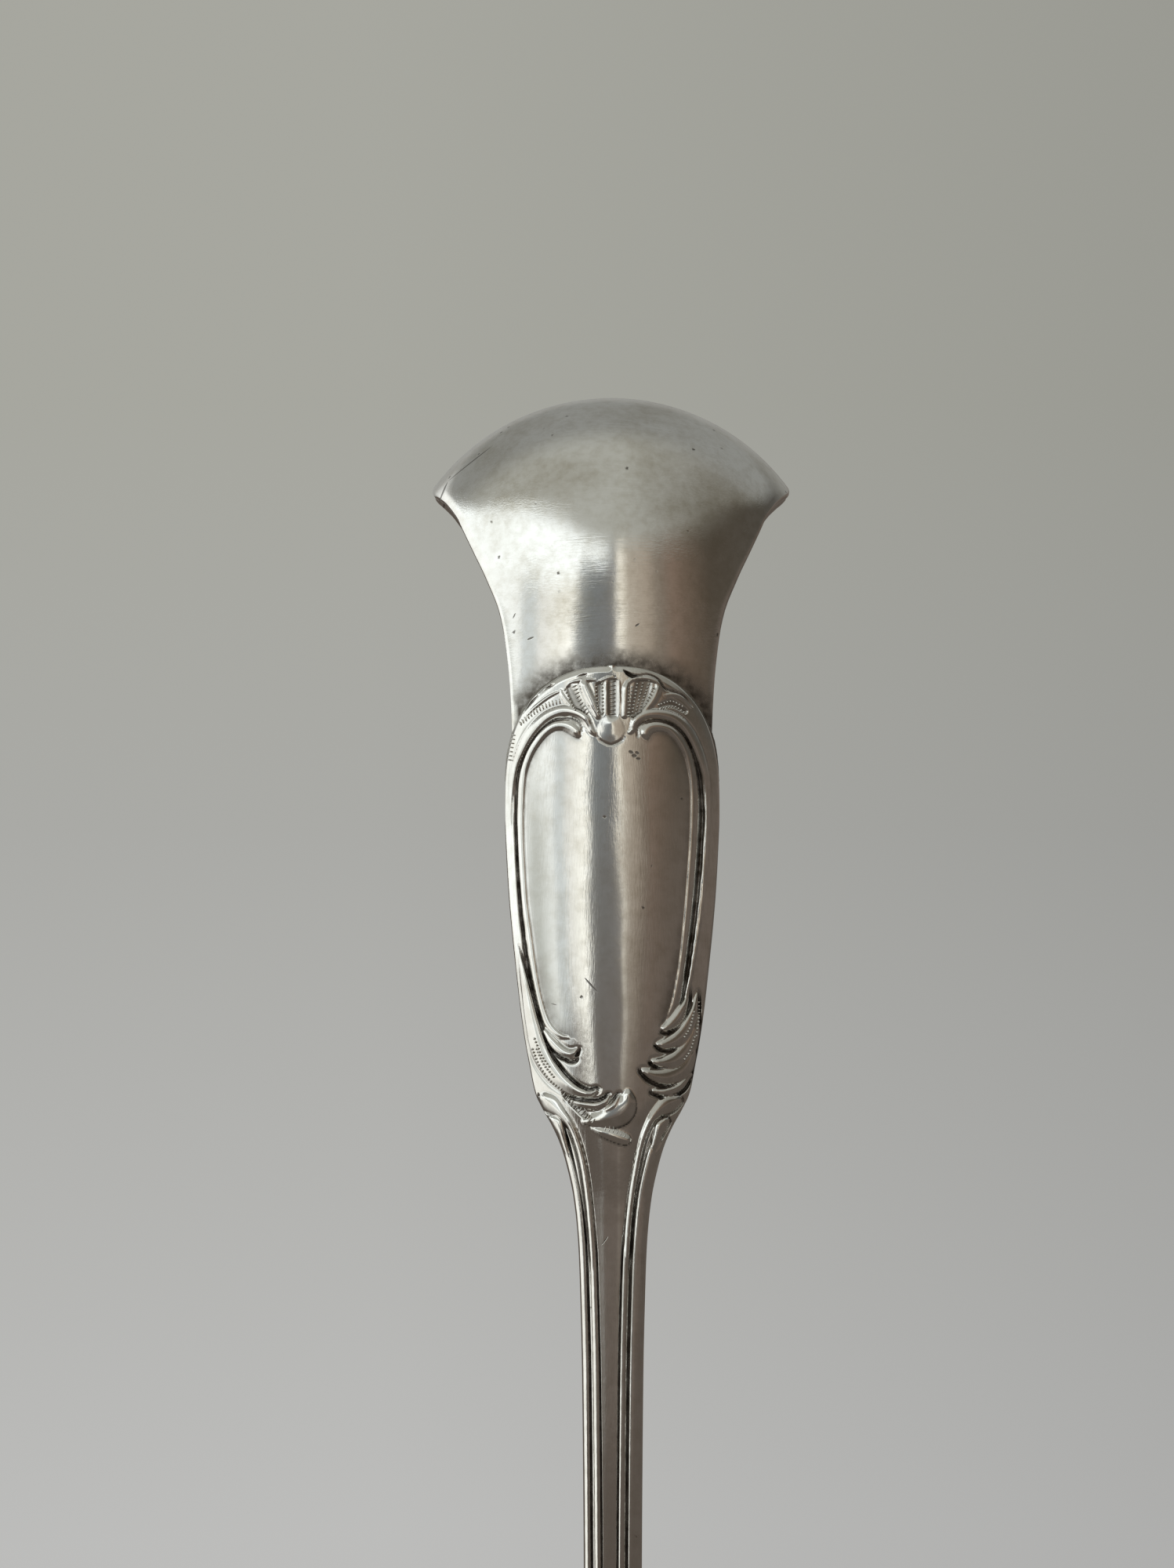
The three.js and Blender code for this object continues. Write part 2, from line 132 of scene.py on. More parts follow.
def turned(points):
    """The same points half a turn round the upright axis, for the rear side."""
    return points * np.array([-1, -1, 1])


ARMS = (("front_arm", np.asarray), ("rear_arm", turned))
print("side view runs", round(S_END, 1), "mm from the crest to the tip of the claw")

# %% [markdown]
# ## Sums in node trees
# Geometry and shader trees do arithmetic with chains of Math nodes, which are slow to read. This small
# wrapper lets a formula be written as in Python, and puts the nodes in for it.

# %% A wire that can be added and multiplied


class Wire:
    """One output socket of a tree, with arithmetic."""

    def __init__(self, socket):
        self.socket, self.tree = socket, socket.id_data

    def math(self, operation, *others):
        return out(put(self.tree, "ShaderNodeMath", dict(enumerate((self, *others))), operation=operation))

    __add__ = partialmethod(math, "ADD")
    __sub__ = partialmethod(math, "SUBTRACT")
    __mul__ = partialmethod(math, "MULTIPLY")
    __truediv__ = partialmethod(math, "DIVIDE")
    __pow__ = partialmethod(math, "POWER")
    sine = partialmethod(math, "SINE")
    cosine = partialmethod(math, "COSINE")
    at_least = partialmethod(math, "MAXIMUM")
    at_most = partialmethod(math, "MINIMUM")

    def between(self, low, high, start=0.0, end=1.0, smooth=False):
        """This value's place between low and high, as a value from start to end."""
        values = dict(enumerate((self, low, high, start, end)))
        kind = "SMOOTHSTEP" if smooth else "LINEAR"
        return out(put(self.tree, "ShaderNodeMapRange", values, interpolation_type=kind))


def feed(socket, value):
    if isinstance(value, Wire):
        socket.id_data.links.new(value.socket, socket)
    else:
        socket.default_value = value


def put(tree, kind, inputs=(), **settings):
    """A new node with its settings, and with inputs given as {name or number: wire or value}."""
    node = tree.nodes.new(kind)
    for key, value in settings.items():
        setattr(node, key, value)
    for key, value in dict(inputs).items():
        feed(node.inputs[key], value)
    return node


def out(node, key=0):
    return Wire(node.outputs[key])


print("wires ready")

# %% Opening, closing and growing trees
WELD, FINE_WELD = 1e-6, 1e-7


def apart(tree, place):
    """The x, y and z of a place, as wires."""
    parts = put(tree, "ShaderNodeSeparateXYZ", {0: place})
    return [out(parts, k) for k in range(3)]


def joined(tree, *parts):
    return out(put(tree, "ShaderNodeCombineXYZ", dict(enumerate(parts))))


def open_tree(kind, name, inputs, outputs):
    """A new node group, its inputs as wires and its output node. An input gives a number or its kind."""
    tree = bpy.data.node_groups.new(name, kind)
    for key, value in inputs.items():
        named = value if isinstance(value, str) else {int: "Int", float: "Float"}[type(value)]
        socket = tree.interface.new_socket(key, in_out="INPUT", socket_type="NodeSocket" + named)
        if value is not named:
            socket.default_value = value
    for key, named in outputs.items():
        tree.interface.new_socket(key, in_out="OUTPUT", socket_type="NodeSocket" + named)
    given = tree.nodes.new("NodeGroupInput")
    return tree, {key: Wire(given.outputs[key]) for key in inputs}, tree.nodes.new("NodeGroupOutput")


def shape_tree(name, sizes):
    """An empty geometry tree with named sizes and a metal."""
    inputs = {"Geometry": "Geometry", **sizes, "Metal": "Material"}
    return open_tree("GeometryNodeTree", name, inputs, {"Geometry": "Geometry"})


def close_tree(ends, shape, metal):
    """Ends a tree in Realize Instances, Set Shade Smooth and Set Material."""
    tree = ends.id_data
    real = put(tree, "GeometryNodeRealizeInstances", {0: out(shape)})
    smooth = put(tree, "GeometryNodeSetShadeSmooth", {"Geometry": out(real)})
    coated = put(tree, "GeometryNodeSetMaterial", {"Geometry": out(smooth), "Material": metal})
    feed(ends.inputs[0], out(coated))


def grown(name, tree, source, sizes):
    """The result of a tree on a source mesh, as a plain piece."""
    carrier = placed(name + "_source", source)
    modifier = carrier.modifiers.new("grow", "NODES")
    modifier.node_group = tree
    for item in tree.interface.items_tree:
        if item.in_out == "INPUT" and item.name in sizes:
            modifier[item.identifier] = sizes[item.name]
    graph = bpy.context.evaluated_depsgraph_get()
    mesh = bpy.data.meshes.new_from_object(carrier.evaluated_get(graph))
    mesh.name = name
    bpy.data.objects.remove(carrier)
    return placed(name, mesh)


def tidy_skin(piece, weld=WELD):
    """Welds doubles, closes open ends and turns all faces outwards."""
    work = bmesh.new()
    work.from_mesh(piece.data)
    bmesh.ops.remove_doubles(work, verts=work.verts, dist=weld)
    bmesh.ops.holes_fill(work, edges=[e for e in work.edges if e.is_boundary], sides=0)
    bmesh.ops.recalc_face_normals(work, faces=work.faces)
    work.to_mesh(piece.data)
    work.free()


print("tree helpers ready")

# %% [markdown]
# ## Worn silver plate
# Old plate is soft: cloths leave fine wipe lines, the shine is cloudy, tiny pits stay dark, and sulphur blackens
# every crevice that a cloth can't reach. The lines, clouds, pits and single scratches are used by several finishes,
# so each is a node group that puts out masks only, and each finish places it with its own scale and strength.

# %% Shared wear groups


def mask_tree(name, inputs, outputs):
    """An empty shader group that puts out masks."""
    return open_tree("ShaderNodeTree", name, inputs, {key: "Float" for key in outputs})


def noise(tree, place, scale, detail=2.0, roughness=0.5):
    inputs = {"Vector": place, "Scale": scale, "Detail": detail, "Roughness": roughness}
    return out(put(tree, "ShaderNodeTexNoise", inputs))


def vector(tree, operation, first, second, key=0):
    return out(put(tree, "ShaderNodeVectorMath", {0: first, 1: second}, operation=operation), key)


wipe, given, ends = mask_tree("wipe_lines", {"Place": "Vector", "Amount": 0.5}, ["Lines"])
fine = noise(wipe, given["Place"], 1.0, 3.0, 0.6) - 0.5
patches = noise(wipe, given["Place"], 0.04, 2.0).between(0.3, 0.75, smooth=True)
feed(ends.inputs["Lines"], fine * patches * given["Amount"])

cloud, given, ends = mask_tree("shine_clouds", {"Place": "Vector", "Scale": 100.0}, ["Cloud", "Mottle"])
feed(ends.inputs["Cloud"], noise(cloud, given["Place"], given["Scale"], 4.0, 0.55))
feed(ends.inputs["Mottle"], noise(cloud, given["Place"], given["Scale"] * 9.0, 3.0, 0.6))

pits, given, ends = mask_tree("dark_pits", {"Place": "Vector", "Scale": 900.0, "Share": 0.1}, ["Pits"])
cells = put(pits, "ShaderNodeTexVoronoi", {"Vector": given["Place"], "Scale": given["Scale"]})
lone = put(pits, "ShaderNodeSeparateColor", {0: out(cells, "Color")})
ragged = out(cells, "Distance") + noise(pits, given["Place"], given["Scale"] * 3.0) * 0.5
spot = ragged.between(0.3, 0.55, 1.0, 0.0, smooth=True)
kept = out(lone).math("LESS_THAN", given["Share"])
feed(ends.inputs["Pits"], spot * kept)

hairline, given, ends = mask_tree("hairline", {
    "Place": "Vector", "From": "Vector", "Along": "Vector", "Width": 0.0001,
}, ["Mask"])
offset = vector(hairline, "SUBTRACT", given["Place"], given["From"])
run = vector(hairline, "DOT_PRODUCT", given["Along"], given["Along"], "Value")
share = vector(hairline, "DOT_PRODUCT", offset, given["Along"], "Value") / run
share = share.at_least(0.0).at_most(1.0)
foot = put(hairline, "ShaderNodeVectorMath", {0: given["Along"], "Scale": share}, operation="SCALE")
taper = (share - share * share).math("SQRT") * 2.0
depth = given["Width"] * taper - vector(hairline, "DISTANCE", offset, out(foot), "Value")
feed(ends.inputs["Mask"], depth.between(0.0, given["Width"] * 0.7, smooth=True))
print("wear groups:", wipe.name, cloud.name, pits.name, hairline.name)

# %% Silver and braze finishes


def mixed(tree, share, first, second):
    """A colour between two, as a wire. The colours of a Mix node are its inputs 6 and 7 and its output 2."""
    return out(put(tree, "ShaderNodeMix", {0: share, 6: first, 7: second}, data_type="RGBA"), 2)


def new_finish(name):
    """A new material, its tree and its main shader."""
    material = bpy.data.materials.new(name)
    material.use_nodes = True
    return material, material.node_tree, material.node_tree.nodes["Principled BSDF"]


def use_group(tree, group, **inputs):
    return put(tree, "ShaderNodeGroup", inputs, node_tree=group)


PIT_SCALE, PIT_DEPTH, LINE_MARK_DEPTH, FRONT_ONLY = 1900.0, 0.8, 0.75, (1, 0, 1)
TARNISH_AND_SHADE_BLACK, DULLING = (0.055, 0.043, 0.032, 1), (0.7, 0.67, 0.61)
BUMP_STRENGTH, BUMP_HEIGHT = 0.22, 0.00003


def plate_finish(name, colour, shine, lines, line_scale, cloud_scale, pit_share, stain, scratches_and_crease_shade=()):
    """Silver plate: colour, roughness, wipe lines and their stretch, clouds, pits, stain, and single dark lines,
    scratches and painted crease shade, given as (across, up, across, up, width) in millimetres, seen from the front."""
    material, tree, skin = new_finish(name)
    skin.inputs["Metallic"].default_value = 1.0
    place = out(tree.nodes.new("ShaderNodeTexCoord"), "Object")
    wiped = out(use_group(tree, wipe, Place=vector(tree, "MULTIPLY", place, line_scale), Amount=lines))
    clouds = use_group(tree, cloud, Place=place, Scale=cloud_scale)
    patch, mottle = out(clouds, "Cloud"), out(clouds, "Mottle")
    marks = out(use_group(tree, pits, Place=place, Scale=PIT_SCALE, Share=pit_share)) * PIT_DEPTH
    flat = vector(tree, "MULTIPLY", place, FRONT_ONLY)
    for xa, za, xb, zb, width in scratches_and_crease_shade:
        start, run = (xa * MM, 0, za * MM), ((xb - xa) * MM, 0, (zb - za) * MM)
        line_mark = out(use_group(tree, hairline, Place=flat, From=start, Along=run, Width=width * MM))
        marks = marks.at_least(line_mark * LINE_MARK_DEPTH)
    # The mask holds tarnish in grooves and punched hollows, the stain round the bow's dome, and on the arms also
    # painted shade along edges and inside the frame beads.
    mask = put(tree, "ShaderNodeAttribute", attribute_name="darkening_mask")
    darkened = out(mask, "Fac") * mottle.between(0.25, 0.6, 0.55, 1.0)
    black = darkened.at_least(marks)
    veil = patch.between(0.4, 0.75, smooth=True) * stain + mottle.between(0.4, 0.75, 0.0, 0.45) + wiped * 0.8
    dull = tuple(c * d for c, d in zip(colour, DULLING))
    worn = mixed(tree, veil, (*colour, 1), (*dull, 1))
    feed(skin.inputs["Base Color"], mixed(tree, black, worn, TARNISH_AND_SHADE_BLACK))
    rough = patch.between(0.3, 0.75, shine - 0.03, shine + 0.05) + wiped * 0.2
    feed(skin.inputs["Roughness"], rough + mottle.between(0.4, 0.8, 0.0, 0.05) + black * 0.3)
    height = wiped - black * 2.0 + mottle * 0.4
    bump = put(tree, "ShaderNodeBump", {"Strength": BUMP_STRENGTH, "Distance": BUMP_HEIGHT, "Height": height})
    feed(skin.inputs["Normal"], out(bump))
    return material


SILVER = (0.775, 0.768, 0.738)
arm_silver = plate_finish(
    "arm_silver", SILVER, shine=0.085, lines=1.5, line_scale=(9000, 9000, 600), cloud_scale=110.0,
    pit_share=0.006, stain=0.25, scratches_and_crease_shade=[
        (-1.9, 109.1, -1.0, 108.1, 0.07), (-0.75, 91.2, -0.3, 91.8, 0.05), (-4.2, 107.3, -3.75, 107.2, 0.05),
        (1.1, 124.45, 1.45, 124.3, 0.15), (1.3, 124.15, 1.7, 124.1, 0.17), (1.55, 124.4, 1.85, 124.25, 0.13),
        (1.6, 123.95, 1.95, 123.9, 0.12),
    ],
)
bow_silver = plate_finish(
    "bow_silver", SILVER, shine=0.09, lines=1.3, line_scale=(500, 9000, 9000), cloud_scale=170.0,
    pit_share=0.02, stain=0.7, scratches_and_crease_shade=[
        # The first two lines paint the shade of a crease across the left tip of the bow; the others are scratches.
        (-12.5, 142.0, -11.7, 143.9, 0.09), (-11.7, 143.9, -8.4, 146.4, 0.07), (-5.9, 132.2, -5.4, 132.4, 0.09),
        (-6.9, 133.7, -6.7, 134.1, 0.06), (1.6, 133.1, 1.9, 133.3, 0.08),
    ],
)
braze_grey = plate_finish(
    "braze_grey", (0.3, 0.29, 0.265), shine=0.42, lines=0.3, line_scale=(2000, 2000, 2000), cloud_scale=400.0,
    pit_share=0.1, stain=0.7,
)
print("finishes:", arm_silver.name, bow_silver.name, braze_grey.name)

# %% [markdown]
# ## Bow
# The bow is one sheet, arched across and bent over, wide at the crest and narrow where it slides behind the
# arms. A bent, bevelled plane would do, but its shape follows a rule, so Geometry Nodes make it from a grid:
# one side of the grid runs round the section of the sheet, the other along the bend. The bow is
# made as two halves that meet at the crest, one for the side of each arm.

# %% Bow tree and section of the sheet
SHEET, ARCH_RADIUS, BOW_LEG, TONGUE_LENGTH = 0.9, 16.0, 4.33, 13.0
DOME_LENGTH, DOME_POWER, CARTOUCHE_HALF_WIDTH = 9.0, 2.5, 7.4
S_TOP = S_HAUNCH + BOW_LEG
S_TONGUE = S_TOP + TONGUE_LENGTH
TIP_HALF_WIDTH, TONGUE_ROUNDING, STATIONS, CREST_CROWDING = 13.1, 5.0, 15, 1.8
# Shares of the way round the section where its outer face, first lip and inner face end.
OUTER_END, LIP_END, INNER_END = 0.42, 0.5, 0.92
bow_half_width = through([
    (0, TIP_HALF_WIDTH), (S_BEND / 2, 12.8), (S_BEND, 11.1), (S_HAUNCH, 8.0), (S_TOP, 7.35),
    (S_TOP + 4.5, 7.1), (S_TONGUE, 7.1),
])
bow_tree, size, ends = shape_tree("bow_sheet", {
    "Sheet": SHEET, "Arch Radius": ARCH_RADIUS, "Bend Radius": BOW_RADIUS, "Bend Length": S_BEND,
    "Haunch Radius": HAUNCH_RADIUS, "Haunch Length": S_HAUNCH - S_BEND,
    "Leg Radius": ARM_LENGTH / (SPLAY_AT_BOW - SPLAY_AT_CLAW), "Half Length": S_TONGUE, "Side": 1.0,
    "Round Section": 100, "Along": 84, "Dome Top": S_TOP, "Dome Length": DOME_LENGTH,
    "Dome Half Width": CARTOUCHE_HALF_WIDTH,
})
grid = put(bow_tree, "GeometryNodeMeshGrid", {
    "Size X": 1.0, "Size Y": 1.0, "Vertices X": size["Round Section"], "Vertices Y": size["Along"],
})
round_share, along_share, _ = apart(bow_tree, out(bow_tree.nodes.new("GeometryNodeInputPosition")))
round_share = round_share + 0.5
along_share = (along_share + 0.5) ** CREST_CROWDING
s = along_share * size["Half Length"]
width = bow_tree.nodes.new("ShaderNodeFloatCurve")
curve = width.mapping.curves[0]
places = np.linspace(0, 1, STATIONS)
for place in places[1:-1]:
    curve.points.new(place, 0.5)
for point, place in zip(curve.points, places):
    point.location = (place, float(bow_half_width(place * S_TONGUE)) / TIP_HALF_WIDTH)
width.mapping.update()
feed(width.inputs["Value"], along_share)
into = (s - size["Half Length"] + TONGUE_ROUNDING) / TONGUE_ROUNDING
rounding = (into.at_least(0.0).at_most(0.98) ** 2.0 * -1.0 + 1.0).math("SQRT")
half = out(width) * TIP_HALF_WIDTH * rounding
thin = size["Sheet"] * 0.5
fan = (half / size["Arch Radius"]).math("ARCSINE") - thin / size["Arch Radius"]
outer, inner = round_share.between(0.0, OUTER_END, -1.0, 1.0), round_share.between(LIP_END, INNER_END, 0.0, -2.0)
turn = fan * (outer + inner)
lip = round_share.between(OUTER_END, LIP_END, 0.0, math.pi) + round_share.between(INNER_END, 1.0, 0.0, math.pi)
ring = size["Arch Radius"] - thin + lip.cosine() * thin
bulge = lip.sine() * thin
x = ring * turn.sine() + bulge * turn.cosine()
n = ring * turn.cosine() - size["Arch Radius"] - bulge * turn.sine()
print("section of the sheet takes", len(bow_tree.nodes), "nodes")

# %% Bend of the sheet and soil round the dome
bend = s.at_most(size["Bend Length"]) / size["Bend Radius"] * -1.0 + math.pi / 2
past_bend = (s - size["Bend Length"]).at_least(0.0)
haunch = bend - past_bend.at_most(size["Haunch Length"]) / size["Haunch Radius"]
leg = haunch - (past_bend - size["Haunch Length"]).at_least(0.0) / size["Leg Radius"]
y = bend.cosine() * size["Bend Radius"] * -1.0 - n * leg.cosine()
z = (bend.sine() - 1.0) * size["Bend Radius"] + n * leg.sine() + CREST
for before, after, radius in ((bend, haunch, "Haunch Radius"), (haunch, leg, "Leg Radius")):
    y = y + (before.cosine() - after.cosine()) * size[radius]
    z = z + (after.sine() - before.sine()) * size[radius]
place = joined(bow_tree, x * size["Side"] * MM, y * size["Side"] * MM, z * MM)
above = (size["Dome Top"] + size["Dome Length"] - s).at_least(0.0) / size["Dome Length"]
beside = x.math("ABSOLUTE") / size["Dome Half Width"]
past_dome = (above**DOME_POWER + beside**DOME_POWER) ** (1 / DOME_POWER)
darkening = past_dome.between(1.03, 1.24, 0.95, 0.0, smooth=True) * round_share.between(OUTER_END, LIP_END, 1.0, 0.0)
kept = put(bow_tree, "GeometryNodeStoreNamedAttribute", {
    "Geometry": out(grid), "Name": "darkening_mask", "Value": darkening,
}, data_type="FLOAT", domain="POINT")
moved = put(bow_tree, "GeometryNodeSetPosition", {"Geometry": out(kept), "Position": place})
close_tree(ends, moved, size["Metal"])
print("bow tree has", len(bow_tree.nodes), "nodes")

# %% Bow halves
for side, body in ((1.0, "front_arm"), (-1.0, "rear_arm")):
    name = "bow_front_half" if side > 0 else "bow_rear_half"
    half_bow = grown(name, bow_tree, bpy.data.meshes.new("seed"), {"Side": side, "Metal": bow_silver})
    tidy_skin(half_bow)
    half_bow.data.set_sharp_from_angle(angle=math.radians(60))
    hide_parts("bow_spring")
    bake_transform(half_bow)
    print(name, len(half_bow.data.polygons), "faces")

# %% [markdown]
# ## Struck arm
# Each arm was struck between dies, so its face is one continuous skin of relief and its back is smooth. It could be
# sculpted, or put together from many bars, but a struck face has one height at each place, so it is made as
# a dense grid whose height is worked out from drawn lines: ridges are pushed up and grooves are cut in.
# First come the outline and the thickness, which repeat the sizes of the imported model.

# %% Outline and thickness of an arm
ARM_BACK, PALM_ARCH_RADIUS = 0.27, 12.0
STEM_WAIST, PALM_HALF_WIDTH, PALM_LENGTH, TALON_LENGTH = 1.85, 6.0, 20.0, 8.2
T_STEM, T_WAIST = 39.2, 87.2
T_CLAW, T_END = S_CLAW - S_TOP, S_END - S_TOP
T_PALM, T_KNUCKLE = T_CLAW - PALM_LENGTH, T_END - TALON_LENGTH
flank = through([
    (DOME_LENGTH, 7.4), (10.7, 7.38), (16, 7.07), (21.8, 6.47), (25, 6.05), (27.3, 5.63), (29.1, 5.24), (30.2, 4.72),
    (31.3, 4.1), (32.5, 3.56), (34, 3.1), (36, 2.66), (38.8, 2.35), (42.6, 2.19), (48.2, 2.06), (61.9, 1.94),
    (T_WAIST, STEM_WAIST), ((T_WAIST + T_PALM) / 2, STEM_WAIST), (T_CLAW, PALM_HALF_WIDTH),
    (T_KNUCKLE - 2.5, PALM_HALF_WIDTH - 0.15), (T_KNUCKLE, PALM_HALF_WIDTH - 1.0),
])
thickness = through([(0, 1.9), (DOME_LENGTH, 2.1), (T_WAIST, 2.1), (T_CLAW, 1.5), (T_KNUCKLE, 1.2)])


def half_width(t):
    rise = np.clip((DOME_LENGTH - t) / DOME_LENGTH, 0, 0.9998)
    return np.where(t < DOME_LENGTH, CARTOUCHE_HALF_WIDTH * (1 - rise**DOME_POWER) ** (1 / DOME_POWER), flank(t))


def palm_share(t):
    return ease(t, T_PALM, T_CLAW)


def arch(x, t):
    radius = ARCH_RADIUS + (PALM_ARCH_RADIUS - ARCH_RADIUS) * palm_share(t)
    return np.sqrt(radius**2 - x**2) - radius


def rows_along(runs):
    """Row places from (start, end, count, power) runs, with the last end added."""
    rows = [a + (b - a) * (np.arange(count) / count) ** power for a, b, count, power in runs]
    return np.append(np.concatenate(rows), runs[-1][1])


T = rows_along([(0, 1, 22, 2), (1, 6.5, 66, 1), (6.5, 21, 66, 1), (21, 34, 140, 1), (34, 42, 36, 1),
                (42, T_PALM, 40, 1), (T_PALM, T_CLAW - 4, 26, 1), (T_CLAW - 4, T_KNUCKLE, 44, 1)])
FACE_COLUMNS = 177
U = np.linspace(-1, 1, FACE_COLUMNS)
U = 0.6 * U + 0.4 * np.sin(math.pi / 2 * U)
TT, XX = np.broadcast_to(T[:, None], (len(T), len(U))), half_width(T)[:, None] * U
print("face grid", XX.shape)

# %% [markdown]
# ## Drawn lines
# The ornament is a list of lines, in hundredths of a millimetre: across from the middle of the arm, down from the
# top of the cartouche, and half the width of the line there. A smooth line is drawn through the points, and each
# place of the grid takes a height from how near it is to the line. Ridges keep the highest, grooves the deepest.

# %% Pressing lines into the face
HUNDREDTHS, FAR, FAR_WIDTH, REACH, THINNEST, STRETCH = 100, 9.0, 0.2, 1.5, 0.02, 40


def drawn(points, step=0.05):
    """Close samples (across, down, half width) in millimetres of a smooth line through points."""
    p = np.array(points) / HUNDREDTHS
    p = np.vstack([2 * p[0] - p[1], p, 2 * p[-1] - p[-2]])
    parts = []
    for a, b, c, d in zip(p[:-3], p[1:-2], p[2:-1], p[3:]):
        f = np.linspace(0, 1, max(2, int(np.hypot(*(c - b)[:2]) / step)), endpoint=False)[:, None]
        bow, twist = 2 * a - 5 * b + 4 * c - d, 3 * b - a - 3 * c + d
        parts.append(0.5 * (2 * b + (c - a) * f + bow * f**2 + twist * f**3))
    return np.vstack([*parts, p[-2:-1]])


def near(x, t, points):
    """How far each place is from a line as a share of its half width, below zero on its left, and that width."""
    share, width = np.full(x.shape, FAR), np.full(x.shape, FAR_WIDTH)
    samples = drawn(points)
    samples[:, 2] = np.maximum(samples[:, 2], THINNEST)
    ahead = np.gradient(samples[:, :2], axis=0)
    for k in np.array_split(np.arange(len(samples)), max(1, len(samples) // STRETCH)):
        px, pt, pw = samples[k].T
        beside = (x > px.min() - REACH) & (x < px.max() + REACH)
        hit = np.nonzero(beside & (t > pt.min() - REACH) & (t < pt.max() + REACH))
        if not len(hit[0]):
            continue
        dx, dt = x[hit][:, None] - px, t[hit][:, None] - pt
        gap = np.hypot(dx, dt) / pw
        best = gap.argmin(1)
        row = np.arange(len(best))
        turn = ahead[k[best], 0] * dt[row, best] - ahead[k[best], 1] * dx[row, best]
        closest = np.where(turn < 0, -1, 1) * gap[row, best]
        better = np.abs(closest) < np.abs(share[hit])
        share[hit] = np.where(better, closest, share[hit])
        width[hit] = np.where(better, pw[best], width[hit])
    return share, width


print("line tools ready")

# %% [markdown]
# ## Frame, shell and leaves
# A beaded frame with a groove outside it runs down both flanks of the cartouche and curls into volutes at the top.
# Between them sits a fan-shaped shell with a pendant drop. Leaves lap over the foot, and the last ones run on as the
# threads of the stem. The two sides differ a little, as on the real die, so both are drawn in full.

# %% Lines of the frame and the shell
LEFT_GROOVE = [
    (-220, 472, 4), (-206, 430, 6), (-234, 387, 8), (-308, 360, 9), (-405, 370, 9), (-498, 438, 9), (-582, 548, 9),
    (-630, 660, 9), (-653, 770, 9), (-663, 1000, 10), (-657, 1250, 12), (-634, 1600, 13), (-593, 1950, 15),
    (-550, 2210, 18), (-506, 2400, 19), (-455, 2570, 17), (-389, 2720, 14), (-307, 2810, 11), (-225, 2865, 8),
    (-175, 2885, 4),
]
LEFT_BEAD = [
    (-236, 478, 20), (-252, 455, 32), (-290, 425, 36), (-340, 406, 34), (-405, 411, 32), (-475, 458, 30),
    (-550, 556, 28), (-595, 660, 26), (-618, 770, 25), (-628, 1000, 23), (-623, 1250, 21), (-600, 1600, 20),
    (-568, 1840, 20), (-540, 2040, 19), (-510, 2210, 18), (-475, 2350, 20), (-440, 2440, 22), (-390, 2500, 20),
    (-340, 2530, 15), (-300, 2535, 8),
]
RIGHT_GROOVE = [
    (173, 494, 4), (177, 430, 6), (227, 388, 8), (319, 372, 9), (414, 398, 10), (486, 456, 11), (542, 548, 12),
    (580, 656, 15), (602, 775, 18), (613, 940, 22), (610, 1100, 24), (590, 1400, 25), (560, 1700, 24),
    (520, 2000, 20), (492, 2180, 15), (468, 2300, 11), (425, 2395, 8), (360, 2470, 4),
]
RIGHT_BEAD = [
    (230, 492, 18), (228, 462, 34), (255, 428, 36), (300, 415, 34), (350, 418, 31), (405, 440, 29), (462, 500, 27),
    (510, 585, 25), (538, 680, 25), (555, 780, 26), (562, 900, 27), (558, 1100, 27), (538, 1400, 26), (512, 1700, 25),
    (477, 2000, 22), (450, 2160, 21), (420, 2290, 18), (390, 2370, 12), (365, 2420, 5),
]
SHELL_BANDS = [
    [(-157, 424, 20), (-189, 365, 30), (-259, 322, 34), (-350, 308, 38), (-459, 348, 40), (-560, 445, 38),
     (-632, 570, 33), (-676, 700, 24), (-695, 900, 11), (-698, 1100, 3)],
    [(140, 424, 20), (170, 373, 30), (238, 338, 34), (335, 330, 36), (437, 356, 37), (520, 430, 36), (582, 542, 34),
     (624, 660, 30), (650, 786, 23), (655, 950, 16), (644, 1230, 12), (612, 1640, 11), (570, 1920, 11),
     (536, 2110, 12), (500, 2260, 14)],
]
SHELL_RIDGES = [
    [(-100, 350, 20), (-113, 320, 24), (-157, 224, 34), (-195, 138, 30), (-200, 105, 14)],
    [(-42, 330, 6), (-43, 220, 9), (-44, 110, 6)],
    [(50, 340, 6), (50, 230, 10), (47, 110, 6)],
    [(82, 350, 18), (87, 260, 22), (93, 160, 22), (105, 115, 10)],
    [(185, 350, 12), (240, 290, 20), (285, 230, 24), (312, 165, 22), (305, 120, 10)],
    [(-250, 310, 6), (-300, 260, 13), (-340, 205, 15), (-355, 160, 6)],
    [(-295, 114, 5), (-230, 100, 12), (-160, 98, 12), (-115, 102, 5)],
    [(100, 145, 5), (125, 104, 12), (170, 88, 13), (245, 87, 13), (310, 114, 13), (350, 170, 6)],
    [(355, 200, 5), (420, 190, 12), (480, 208, 12), (540, 270, 5)],
    [(-640, 370, 5), (-545, 280, 11), (-437, 204, 11), (-340, 162, 5)],
    [(-113, 122, 4), (-27, 87, 9), (45, 97, 4)],
    [(-120, 475, 12), (-142, 450, 20), (-160, 410, 20)],
    [(120, 465, 12), (140, 440, 18), (155, 405, 16)],
]
DROP = [(-10, 415, 70), (-10, 435, 95), (-10, 450, 102)]
DROP_EDGE = [(-105, 475, 3), (-80, 520, 6), (-10, 550, 7), (60, 520, 6), (85, 475, 3)]
SCALLOPS = [
    [(78, 32, 4), (105, 55, 15), (145, 72, 15), (195, 66, 6), (250, 58, 6), (315, 86, 7), (362, 150, 8),
     (430, 166, 7), (495, 195, 7), (550, 260, 4)],
    [(-235, 70, 3), (-200, 66, 8), (-165, 62, 3)],
    [(-460, 145, 3), (-427, 130, 7), (-395, 120, 3)],
    [(-610, 300, 3), (-565, 240, 12), (-510, 190, 4)],
]
